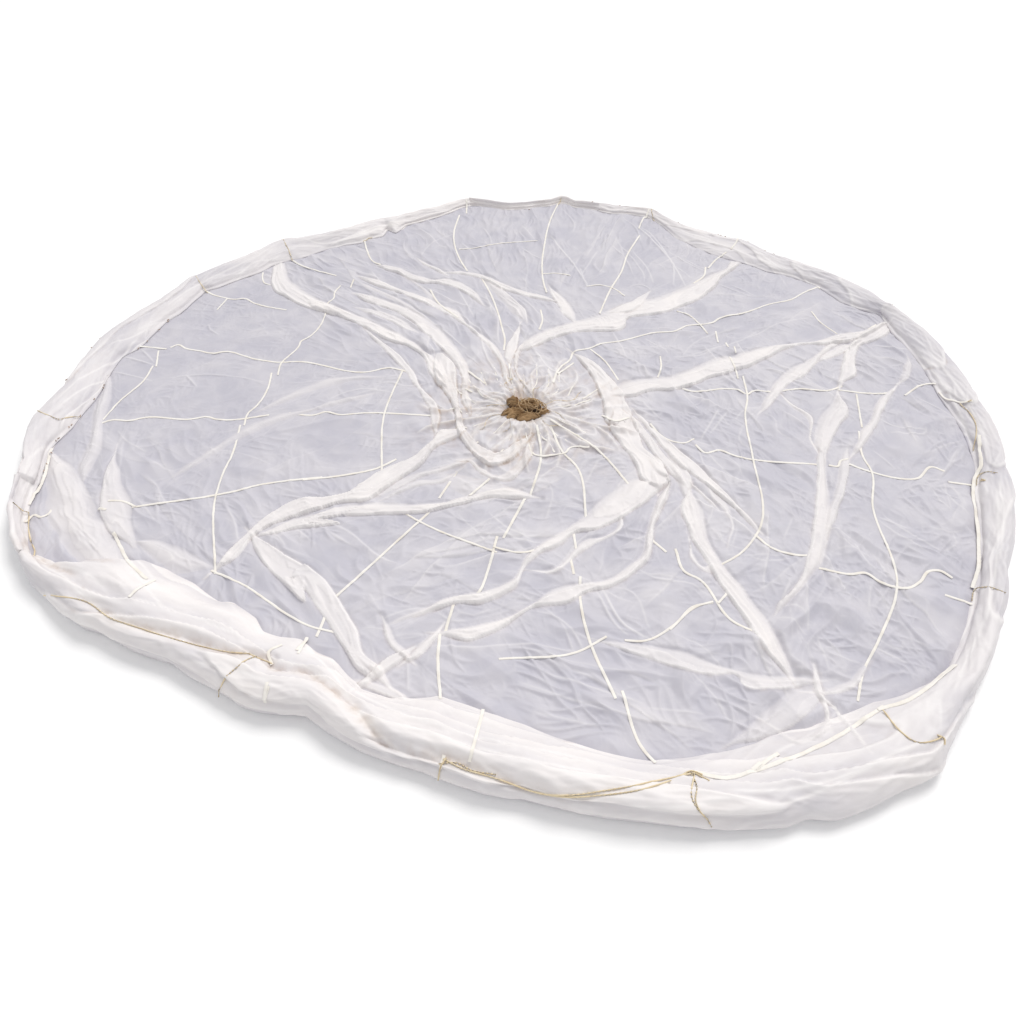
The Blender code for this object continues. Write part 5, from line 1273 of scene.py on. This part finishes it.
def sheerNylon():
    # thin plain-woven parachute nylon: the floor greys it through one layer, and crossed and folded layers
    # turn it warm white
    material, tree, shader = newMaterial("sheerNylon", {
        "Roughness": clothFinish["roughness"], "IOR": 1.53, "Specular IOR Level": 0.3,
        "Alpha": clothFinish["opacity"], "Sheen Weight": clothFinish["sheen"], "Sheen Roughness": 0.4})
    layers, crestHighlight, grimeAndShade = (addNode(tree, "ShaderNodeAttribute", {"attribute_name": name}).outputs["Fac"]
                             for name in ("layers", "crestHighlight", "grimeAndShade"))
    place = addNode(tree, "ShaderNodeTexCoord").outputs["Object"]
    cloud = addNode(tree, "ShaderNodeTexNoise", inputs={"Scale": 5.0, "Detail": 4.0, "Roughness": 0.6},
                    links={"Vector": place})
    patchy = addNode(tree, "ShaderNodeMapRange", links={"Value": cloud},
                     inputs={"From Min": 0.3, "From Max": 0.7, "To Min": -0.08, "To Max": 0.08})
    amount = addNode(tree, "ShaderNodeMath", {"operation": "ADD", "use_clamp": True},
                     links={0: layers, 1: patchy})
    base = addNode(tree, "ShaderNodeMix", {"data_type": "RGBA"},
                   inputs={6: linear(clothFinish["oneLayer"]), 7: linear(clothFinish["manyLayers"])},
                   links={"Factor": amount})
    # painted highlight on crests and edges
    light = addNode(tree, "ShaderNodeMix", {"data_type": "RGBA"},
                    inputs={7: linear(clothFinish["creaseLight"])},
                    links={"Factor": crestHighlight, 6: base.outputs[2]})
    # tan from the grime-and-shade attribute, yellowing and painted shade both, made patchy by noise
    patchNoise = addNode(tree, "ShaderNodeTexNoise", inputs={"Scale": 30.0, "Detail": 3.0},
                    links={"Vector": place})
    patchMask = addNode(tree, "ShaderNodeMapRange", links={"Value": patchNoise},
                        inputs={"From Min": 0.35, "From Max": 0.70, "To Min": 0.10, "To Max": 1.0})
    dirtAndShade = addNode(tree, "ShaderNodeMath", {"operation": "MULTIPLY", "use_clamp": True},
                   links={0: grimeAndShade, 1: patchMask})
    colour = addNode(tree, "ShaderNodeMix", {"data_type": "RGBA"}, inputs={7: linear(clothFinish["grimeAndShade"])},
                     links={"Factor": dirtAndShade, 6: light.outputs[2]})
    tree.links.new(colour.outputs[2], shader.inputs["Base Color"])
    # warp and weft, drawn eight times coarser than the real 0.2 mm so that a close view shows them
    weave = addNode(tree, "ShaderNodeTexChecker", inputs={"Scale": 1.0 / clothFinish["threadSpacing"]},
                    links={"Vector": place})
    soft = addNode(tree, "ShaderNodeTexNoise", inputs={"Scale": 150.0, "Detail": 2.0},
                   links={"Vector": place})
    both = addNode(tree, "ShaderNodeMath", {"operation": "ADD"},
                   links={0: weave.outputs["Fac"], 1: soft})
    bump = addNode(tree, "ShaderNodeBump", inputs={"Strength": 0.10, "Distance": 0.0004},
                   links={"Height": both})
    tree.links.new(bump.outputs["Normal"], shader.inputs["Normal"])
    return material


def wovenTape(name, colour, dark, pitch, roughness=0.75, hollowShade=None):
    # narrow woven nylon tape or braid: fine cross ribs and slightly uneven age
    material, tree, shader = newMaterial(name, {"Roughness": roughness, "IOR": 1.53, "Sheen Weight": 0.2})
    place = addNode(tree, "ShaderNodeTexCoord")
    uv = addNode(tree, "ShaderNodeUVMap", {"uv_map": "along"})
    cloud = addNode(tree, "ShaderNodeTexNoise", inputs={"Scale": 24.0, "Detail": 5.0},
                    links={"Vector": place.outputs["Object"]})
    mask = addNode(tree, "ShaderNodeMapRange", links={"Value": cloud},
                   inputs={"From Min": 0.45, "From Max": 0.8, "To Min": 0.0, "To Max": 0.8})
    mixed = addNode(tree, "ShaderNodeMix", {"data_type": "RGBA"}, inputs={6: linear(colour), 7: linear(dark)},
                    links={"Factor": mask})
    if hollowShade:   # painted shade darkens the hollows between the folds
        depth = addNode(tree, "ShaderNodeAttribute", {"attribute_name": "hollowShade"})
        mixed = addNode(tree, "ShaderNodeMix", {"data_type": "RGBA"}, inputs={7: linear(hollowShade)},
                        links={"Factor": depth.outputs["Fac"], 6: mixed.outputs[2]})
    tree.links.new(mixed.outputs[2], shader.inputs["Base Color"])
    ribs = addNode(tree, "ShaderNodeTexWave", {"bands_direction": "X"},
                   inputs={"Scale": 1.0 / pitch / 20.0, "Distortion": 0.5}, links={"Vector": uv})
    bump = addNode(tree, "ShaderNodeBump", inputs={"Strength": 0.35, "Distance": 0.0005},
                   links={"Height": ribs.outputs["Fac"]})
    tree.links.new(bump.outputs["Normal"], shader.inputs["Normal"])
    return material


nylon = sheerNylon()
creamTape = wovenTape("creamNylonTape", "#f3efe8", "#e3dacb", 0.002)
hemBinding = wovenTape("nylonHemBinding", "#efeae8", "#ddd3cc", 0.002)
tanLine = wovenTape("tanBraidedLine", "#e8d8b6", "#cbb288", 0.003)
brownGather = wovenTape("brownGatheredWebbing", "#c3a67e", "#8f6c46", 0.003, 0.85)
# the crushed webbing gets painted shade, dark brown, in its hollows
crushedWebbing = wovenTape("crushedBrownWebbing", "#b8976e", "#93704a", 0.003, 0.9, "#3a2614")
rustThread = wovenTape("rustStainedThread", "#a98f7c", "#6c564a", 0.002, 0.9)


# meshes from grids

def addPiece(name, data):
    piece = bpy.data.objects.new(name, data)
    bpy.context.scene.collection.objects.link(piece)
    return piece


def meshObject(name, points, faces, material):
    mesh = bpy.data.meshes.new(name)
    points = np.asarray(points, dtype=np.float32)
    faces = np.asarray(faces, dtype=np.int32)
    mesh.vertices.add(len(points))
    mesh.vertices.foreach_set("co", points.ravel())
    mesh.loops.add(faces.size)
    mesh.loops.foreach_set("vertex_index", faces.ravel())
    mesh.polygons.add(len(faces))
    mesh.polygons.foreach_set("loop_start", np.arange(len(faces), dtype=np.int32) * faces.shape[1])
    mesh.polygons.foreach_set("use_smooth", np.ones(len(faces), dtype=bool))
    mesh.update(calc_edges=True)
    mesh.validate()
    mesh.materials.append(material)
    return addPiece(name, mesh)


def gridFaces(rows, columns, start=0):
    a = start + np.arange(rows - 1)[:, None] * columns + np.arange(columns - 1)[None]
    return np.stack((a, a + columns, a + columns + 1, a + 1), axis=-1).reshape(-1, 4)


def ringFaces(rows, columns):
    # a grid whose last column joins its first
    index = np.arange(rows * columns).reshape(rows, columns)
    after = np.roll(index, -1, axis=1)
    return np.stack((index[:-1], index[1:], after[1:], after[:-1]), axis=-1).reshape(-1, 4)


def faceUp(points, faces):
    # turn a grid over if most of it looks down
    a, b, c = points[faces[:, 0]], points[faces[:, 1]], points[faces[:, 2]]
    return faces if np.cross(b - a, c - a)[:, 2].sum() > 0 else faces[:, ::-1]


def setAttribute(piece, name, values):
    attribute = piece.data.attributes.new(name, "FLOAT", "POINT")
    attribute.data.foreach_set("value", np.asarray(values, dtype=np.float32).ravel())


def setUv(piece, along, across):
    layer = piece.data.uv_layers.new(name="along")
    index = np.zeros(len(piece.data.loops), dtype=np.int32)
    piece.data.loops.foreach_get("vertex_index", index)
    layer.data.foreach_set("uv", np.column_stack((along, across))[index].astype(np.float32).ravel())


def placed(points):
    return np.asarray(points) + np.append(apex, 0.0)


def finishPiece(piece, slot, *nodes):
    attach(piece, "root")
    if nodes:
        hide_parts(*nodes)


print("cutting the cloth into its gores")
sheetGrid = np.dstack((flatPoints, np.maximum(sheetTop + plyRise, clothLevel["least"]))).reshape(-1, 3)
sheetEnds = {"underRoll": 0.060, "insideRim": 0.02, "ventHole": 0.045}   # metres
kept = ((toHem > -sheetEnds["underRoll"]) & (toRim > sheetEnds["insideRim"])
        & (fromVent > sheetEnds["ventHole"]))
quads = gridFaces(ground["rows"], ground["columns"])[:, ::-1]
quads = quads[kept.ravel()[quads].all(axis=1)]
quadOwner = goreOf(sheetGrid[quads].mean(axis=1)[:, :2])
sheetValues = {
    "layers": sheetLayers + (1.0 - sheetLayers) * plyTone,
    "crestHighlight": clamp(np.maximum(np.maximum(creaseHighlight, crumpleLight * clear), plyHighlight)),
    "grimeAndShade": sheetGrimeAndShade * (1.0 - 0.7 * plyTone) + plyStainAndShade,
}
rollPoints = rollGrid.reshape(-1, 3)
rollQuads = ringFaces(*rollGrid.shape[:2])
rollOwner = goreOf(rollPoints[rollQuads].mean(axis=1)[:, :2])
rollQuads = faceUp(rollPoints, rollQuads)
# the roll's tone, which carries its layers and its painted light and shade, goes into the layers attribute
rollValues = {"layers": rollTone, "crestHighlight": clamp(rollCrestHighlight), "grimeAndShade": rollGrimeAndShade}


def gather(parts):
    # the used points, with their faces and values, of several grids in one
    points, faces, values, start = [], [], {"layers": [], "crestHighlight": [], "grimeAndShade": []}, 0
    for partPoints, partFaces, partValues in parts:
        used = np.unique(partFaces)
        index = np.zeros(len(partPoints), dtype=np.int64)
        index[used] = np.arange(len(used)) + start
        points.append(partPoints[used])
        faces.append(index[partFaces])
        for key in values:
            values[key].append(partValues[key].ravel()[used])
        start += len(used)
    values = {key: np.concatenate(value) for key, value in values.items()}
    return np.concatenate(points), np.concatenate(faces), values


# cloth taken up by the wrinkles, widest width against the mean, metres of each gore inside the roll
slack = {"crumple": 1.10, "taper": 1.6, "overRoll": 1.0}
for number in range(goreCount):
    points, faces, values = gather([(sheetGrid, quads[quadOwner == number], sheetValues),
                                    (rollPoints, rollQuads[rollOwner == number], rollValues)])
    piece = meshObject(f"cloth_gore_{number + 1:02d}", placed(points), faces, nylon)
    for key, value in values.items():
        setAttribute(piece, key, value)
    finishPiece(piece, "canopy_cloth", f"gore_{number + 1:02d}")
    length = slack["overRoll"] + float(np.linalg.norm(seamEnds[number]))


# the tapes as pieces

def tapePiece(name, parts, material, slot, node):
    points, faces, along, across, start = [], [], [], [], 0
    for grid, place in parts:
        points.append(grid.reshape(-1, 3))
        faces.append(start + faceUp(points[-1], gridFaces(*grid.shape[:2])))
        along.append(place.repeat(grid.shape[1]))
        across.append(np.tile(np.linspace(0, 0.015, grid.shape[1]), len(grid)))
        start += len(points[-1])
    piece = meshObject(name, placed(np.concatenate(points)), np.concatenate(faces), material)
    setUv(piece, np.concatenate(along), np.concatenate(across))
    finishPiece(piece, slot, node)


for index in range(goreCount):
    name = f"seam_tape_{index + 1:02d}"
    ray = heading(fullTurn * index / goreCount)
    inner = np.array((ray * tape["ventRing"], ray * 1.6 * tape["ventRing"], seams[index][0]))
    strip = tapeStrip(inner, tape["ventHalf"], 600 + index, (0.8, 1.8), False)
    strip[0][..., 2] -= tape["ventSink"]   # the gathered cloth hides it here and there
    tapePiece(name + "_woven", tapeParts.get(name, []) + [strip], creamTape, "seam_tape", name)
for name in [f"ring_tape_{ring}" for ring in (1, 2, 3, 4)]:
    tapePiece(name + "_woven", tapeParts[name], creamTape, "seam_tape", name)
hemLine = np.column_stack((np.cos(loopSweep), np.sin(loopSweep))) * (hemRadius + tape["bindingOut"])[:, None]
bindingSection = np.array((0.0, 0.8, 1.0, 1.0, 1.0, 0.8, 0.0))
for quarter in range(4):
    name = f"skirt_tape_{quarter + 1}"
    first = quarter * rollShape["steps"] // 4
    line = hemLine[first:first + rollShape["steps"] // 4 + 1:12]
    strip = tapeStrip(line, tape["bindingHalf"], 900 + quarter, seen=False)
    strip[0][..., 2] = tape["bindingRise"] + tape["thick"] * bindingSection   # under the roll's lip
    tapePiece(name + "_binding", [strip], hemBinding, "suspension_line", name)
tapePiece("skirt_tape_3_woven", tapeParts["skirt_tape_3"], creamTape, "suspension_line", "skirt_tape_3")
fourthQuarter = tapeParts["skirt_tape_4"] + tapeParts["skirt_tape_1"] + tapeParts["roll_tape"]
tapePiece("skirt_tape_4_woven", fourthQuarter, creamTape, "suspension_line", "skirt_tape_4")


# cords: one tube tree that twists four strands along a path

# waist: how far from the middle the strands meet, against the diameter
cord = {"diameter": 0.0042, "turn": 0.016, "waist": 0.41, "station": 0.012, "tieLength": 0.06}


def startTree(name, sizes):
    tree = bpy.data.node_groups.new(name, "GeometryNodeTree")
    for label, kind, value in (("Geometry", "Geometry", None), *sizes, ("Material", "Material", None)):
        socket = tree.interface.new_socket(label, in_out="INPUT", socket_type="NodeSocket" + kind)
        if value is not None:
            socket.default_value = value
    tree.interface.new_socket("Geometry", in_out="OUTPUT", socket_type="NodeSocketGeometry")
    return tree, addNode(tree, "NodeGroupInput").outputs


def endTree(tree, given, geometry):
    real = addNode(tree, "GeometryNodeRealizeInstances", links={"Geometry": geometry})
    done = addNode(tree, "GeometryNodeSetMaterial",
                   links={"Geometry": real, "Material": given["Material"]})
    addNode(tree, "NodeGroupOutput", links={"Geometry": done})
    return tree


def cordTree():
    tree, given = startTree("twistedCord", [("Diameter", "Float", cord["diameter"]),
                                            ("Turn", "Float", cord["turn"])])
    line = addNode(tree, "GeometryNodeMeshToCurve", links={"Mesh": given["Geometry"]})
    length = addNode(tree, "GeometryNodeSplineParameter")
    turns = addNode(tree, "ShaderNodeMath", {"operation": "DIVIDE"},
                    links={0: length.outputs["Length"], 1: given["Turn"]})
    angle = addNode(tree, "ShaderNodeMath", {"operation": "MULTIPLY"}, {1: fullTurn}, {0: turns})
    tilted = addNode(tree, "GeometryNodeSetCurveTilt", links={"Curve": line, "Tilt": angle})
    outer, inner = (addNode(tree, "ShaderNodeMath", {"operation": "MULTIPLY"}, {1: share},
                            {0: given["Diameter"]}) for share in (0.5, cord["waist"]))
    section = addNode(tree, "GeometryNodeCurveStar", inputs={"Points": 4},
                      links={"Outer Radius": outer, "Inner Radius": inner})
    tube = addNode(tree, "GeometryNodeCurveToMesh", inputs={"Fill Caps": True},
                   links={"Curve": tilted, "Profile Curve": section})
    return endTree(tree, given, tube)


twisted = cordTree()


def runTree(name, mesh, tree, values):
    # evaluate one tree on a mesh and keep the result as a plain mesh
    carrier = addPiece(name + "_path", mesh)
    modifier = carrier.modifiers.new("tree", "NODES")
    modifier.node_group = tree
    for item in tree.interface.items_tree:
        if item.in_out == "INPUT" and item.name in values:
            modifier[item.identifier] = values[item.name]
    evaluated = carrier.evaluated_get(bpy.context.evaluated_depsgraph_get())
    result = bpy.data.meshes.new_from_object(evaluated)
    result.name = name
    carrier.modifiers.remove(modifier)
    bpy.data.objects.remove(carrier)
    result.polygons.foreach_set("use_smooth", np.ones(len(result.polygons), dtype=bool))
    return addPiece(name, result)


def pathMesh(name, lines):
    points, edges, start = [], [], 0
    for line in lines:
        points += [tuple(p) for p in line]
        edges += [(start + k, start + k + 1) for k in range(len(line) - 1)]
        start += len(line)
    mesh = bpy.data.meshes.new(name + "_line")
    mesh.from_pydata(points, edges, [])
    return mesh


def cordPiece(name, lines, diameter, turn, material):
    values = {"Diameter": diameter, "Turn": turn, "Material": material}
    return runTree(name, pathMesh(name, lines), twisted, values)


def cordPath(line, radius):
    curve = Curve(line)
    count = max(15, int(curve.length / cord["station"]))
    centre = onTop(curve.sampled(count), radius)
    level = read(top, centre)
    level = np.maximum(blurred(level, 4, (0,)), level - 0.002) + radius
    return placed(np.column_stack((centre, level)))


print("tying the cords")
for name, text in cordRoutes.items():
    for number, line in enumerate(routes(text)):
        path = cordPath(line, cord["diameter"] * 0.5)
        piece = cordPiece(f"cord_{name}_{number + 1}", [path], cord["diameter"], cord["turn"], tanLine)
        finishPiece(piece, "suspension_line")


# the vent: brown lines and webbing gathered into a knot, with pale lines running out of it

bundle = {"strands": 11, "seed": 77, "across": 0.088, "deep": 0.050, "high": 0.058, "thin": 0.0034,
          "turn": 0.03, "nearer": 0.026, "right": 0.022, "winding": (2.0, 6.5), "slope": 0.10, "foot": 0.010}
ventRays = {"count": 9, "seed": 91, "diameter": 0.0022, "turn": 0.02}
# folds of crushed webbing: middle x and y, foot, length, width, height, direction in degrees
crushedFolds = (
    (-0.052, -0.044, 0.010, 0.112, 0.060, 0.042, 14), (0.010, -0.064, 0.010, 0.096, 0.050, 0.042, 12),
    (-0.044, 0.020, 0.012, 0.056, 0.044, 0.050, -12), (0.010, 0.000, 0.014, 0.100, 0.050, 0.044, 6),
    (0.070, -0.032, 0.008, 0.066, 0.036, 0.034, -12),
)


def ventBundle():
    # cords wound loosely round the right half of the knot, each turned back at its edge
    rng = np.random.default_rng(bundle["seed"])
    lines = []
    for number in range(bundle["strands"]):
        draws = rng.random(7)
        turn = np.linspace(0.0, span(bundle["winding"], draws[0]), 60) + 6.28 * draws[1]
        wide, deep = 0.014 + 0.050 * draws[2] ** 1.5, 0.014 + 0.028 * draws[3]
        x = bundle["right"] + 0.018 * (draws[4] - 0.5) + wide * np.cos(turn)
        y = 0.010 * (draws[5] - 0.5) + deep * np.sin(turn) - bundle["slope"] * x
        out = np.hypot(x / bundle["across"], y / bundle["deep"])
        x, y = x / np.maximum(out, 1.0), y / np.maximum(out, 1.0)
        z = bundle["foot"] + bundle["high"] * np.sqrt(1.0 - 0.85 * np.minimum(out, 1.0) ** 2)
        z = z + 0.006 * np.sin(2.3 * turn + 6.0 * draws[6])
        lines.append(np.column_stack((x, y - bundle["nearer"], z)))
    return lines


def crushedFold(x, y, foot, length, width, height, direction, seed):
    # an oval fold with sharp lengthwise creases, and painted shade in the hollows between them and round its
    # foot
    rows, columns = 30, 132
    rim = np.linspace(0.0, 1.0, rows)[:, None]
    turn = np.linspace(0.0, fullTurn, columns, endpoint=False)[None]
    edge = 1.0 + 0.12 * np.sin(2 * turn + seed) + 0.09 * np.sin(3 * turn + 2.0 * seed)
    edge = edge + 0.05 * np.sin(7 * turn + seed)
    u, v = 0.5 * length * rim * edge * np.cos(turn), 0.5 * width * rim * edge * np.sin(turn)
    bend = 0.006 * noise(u / 0.03 + 30.0, v / 0.03 + 30.0, 83 + seed)
    folded = 0.6 * ridges(noise(u / 0.080 + 20.0, (v + bend) / 0.0120 + 20.0, 81 + seed), 0.42, 1.0)
    folded = folded + 0.4 * ridges(noise(u / 0.050 + 50.0, (v + bend) / 0.0052 + 20.0, 82 + seed), 0.45, 1.0)
    z = foot + height * (0.45 + 0.55 * folded) * np.sqrt(clamp(1.0 - rim ** 2.4))
    cos, sin = heading(math.radians(direction))
    points = np.dstack((x + u * cos - v * sin, y + u * sin + v * cos, z)).reshape(-1, 3)
    # painted shade in the hollows between the creases and round the foot of the fold
    hollowShade = clamp(1.0 - folded / 0.55 + smooth((rim - 0.74) / 0.22))
    return points, faceUp(points, ringFaces(rows, columns)), hollowShade.ravel()


print("gathering the vent")
lumps = [crushedFold(*spec, seed) for seed, spec in enumerate(crushedFolds)]
corePoints = np.concatenate([lump[0] for lump in lumps])
coreFaces = np.concatenate([lump[1] + k * len(lump[0]) for k, lump in enumerate(lumps)])
core = meshObject("vent_knot_core", placed(corePoints), coreFaces, crushedWebbing)
setAttribute(core, "hollowShade", np.concatenate([lump[2] for lump in lumps]))
setUv(core, corePoints[:, 0], corePoints[:, 1])
finishPiece(core, "vent_gather", "vent_bundle")
loops = [placed(line) for line in ventBundle()]
strands = cordPiece("vent_knot_strands", loops, bundle["thin"], bundle["turn"], brownGather)
finishPiece(strands, "vent_gather", "vent_bundle")

rayLines = []
rng = np.random.default_rng(ventRays["seed"])
for number in range(ventRays["count"]):
    draws = rng.random(5)
    turn = fullTurn * (number + 0.6 * draws[0]) / ventRays["count"]
    reach = np.linspace(0.050, 0.11 + 0.12 * draws[1] ** 1.5, 14)
    swing = turn + 0.55 * (draws[2] - 0.5) * (reach - 0.05) / 0.1
    swing = swing + 0.10 * np.sin(reach * 60.0 + 6.0 * draws[3])
    line = np.column_stack((reach * np.cos(swing) * 1.15, reach * np.sin(swing)))
    z = np.maximum(read(top, line), 0.012 + 0.020 * smooth((0.10 - reach) / 0.05)) + 0.0016
    rayLines.append(placed(np.column_stack((line, blurred(z, 1, (0,))))))
rays = cordPiece("vent_cord_lines", rayLines, ventRays["diameter"], ventRays["turn"], tanLine)
finishPiece(rays, "suspension_line", "vent_cord")


# rust marks on the rim and dark bar tacks on the hem, by scattering one small stitch

marks = {"lean": 0.9,   # radians that a stitch may turn either way
         "rust": {"Length": 0.014, "Width": 0.0040, "Seed": 15},
         "tack": {"Length": 0.012, "Width": 0.0036, "Seed": 16}}


def stitchTree():
    tree, given = startTree("scatteredStitches", [(label, "Int" if label == "Seed" else "Float", value)
                                                  for label, value in marks["rust"].items()])
    thread = addNode(tree, "GeometryNodeMeshUVSphere", inputs={"Segments": 8, "Rings": 6, "Radius": 0.5})
    size = addNode(tree, "ShaderNodeCombineXYZ",
                   links={"X": given["Length"], "Y": given["Width"], "Z": given["Width"]})
    turn = addNode(tree, "FunctionNodeRandomValue", {"data_type": "FLOAT"},
                   {2: -marks["lean"], 3: marks["lean"]}, {8: given["Seed"]})
    angle = addNode(tree, "GeometryNodeInputNamedAttribute", {"data_type": "FLOAT"}, {"Name": "heading"})
    both = addNode(tree, "ShaderNodeMath", {"operation": "ADD"}, links={0: turn.outputs[1], 1: angle})
    lean = addNode(tree, "ShaderNodeCombineXYZ", links={"Z": both})
    spread = addNode(tree, "GeometryNodeInstanceOnPoints",
                     links={"Points": given["Geometry"], "Instance": thread,
                            "Rotation": lean, "Scale": size})
    return endTree(tree, given, spread)


def markPiece(name, spots, values):
    mesh = bpy.data.meshes.new(name + "_spots")
    mesh.from_pydata(placed(np.column_stack((spots, read(top, spots) + 0.0006))).tolist(), [], [])
    turned = mesh.attributes.new("heading", "FLOAT", "POINT")
    turned.data.foreach_set("value", (sweepOf(spots) + 0.5 * math.pi).astype(np.float32))
    finishPiece(runTree(name, mesh, stitches, {**values, "Material": rustThread}), "suspension_line")


print("stitching")
stitches = stitchTree()
rust = routes(rustMarks)[0]
rust = unit(rust) * np.minimum(np.hypot(*rust.T), radiusAt(rimRadius, rust) - 0.008)[:, None]
markPiece("rust_marks", rust, marks["rust"])
markPiece("hem_tacks", seenAt(routes(darkStitches)[0], 0.014), marks["tack"])


# floor and light

studio = {"floor": "#fdfdfd", "floorHalf": 14.0, "sky": 0.68, "skyTint": (0.985, 0.985, 1.0, 1.0),
          "sun": 1.75, "sunTint": (1.0, 0.985, 0.96), "sunTurn": 62.0, "sunHeight": 51.0, "sunSoft": 26.0}


def makeStage():
    mesh = bpy.data.meshes.new("floor")
    half = studio["floorHalf"]
    corners = [(-half, -half, 0), (half, -half, 0), (half, half, 0), (-half, half, 0)]
    mesh.from_pydata(corners, [], [(0, 1, 2, 3)])
    floor = addPiece("floor", mesh)
    mesh.materials.append(newMaterial("paleFloor", {"Base Color": linear(studio["floor"]), "Roughness": 0.9,
                                                    "Specular IOR Level": 0.0})[0])
    world = bpy.data.worlds.new("studio")
    world.use_nodes = True
    background = world.node_tree.nodes["Background"]
    background.inputs["Color"].default_value = studio["skyTint"]
    background.inputs["Strength"].default_value = studio["sky"]
    bpy.context.scene.world = world
    light = bpy.data.lights.new("softSun", "SUN")
    light.energy = studio["sun"]
    light.angle = math.radians(studio["sunSoft"])
    light.color = studio["sunTint"]
    lamp = addPiece("softSun", light)
    turn, rise = math.radians(studio["sunTurn"]), math.radians(studio["sunHeight"])
    towards = Vector((math.cos(turn) * math.cos(rise), math.sin(turn) * math.cos(rise), math.sin(rise)))
    lamp.rotation_euler = towards.to_track_quat("Z", "Y").to_euler()
    bpy.context.scene.view_settings.view_transform = "Standard"


makeStage()
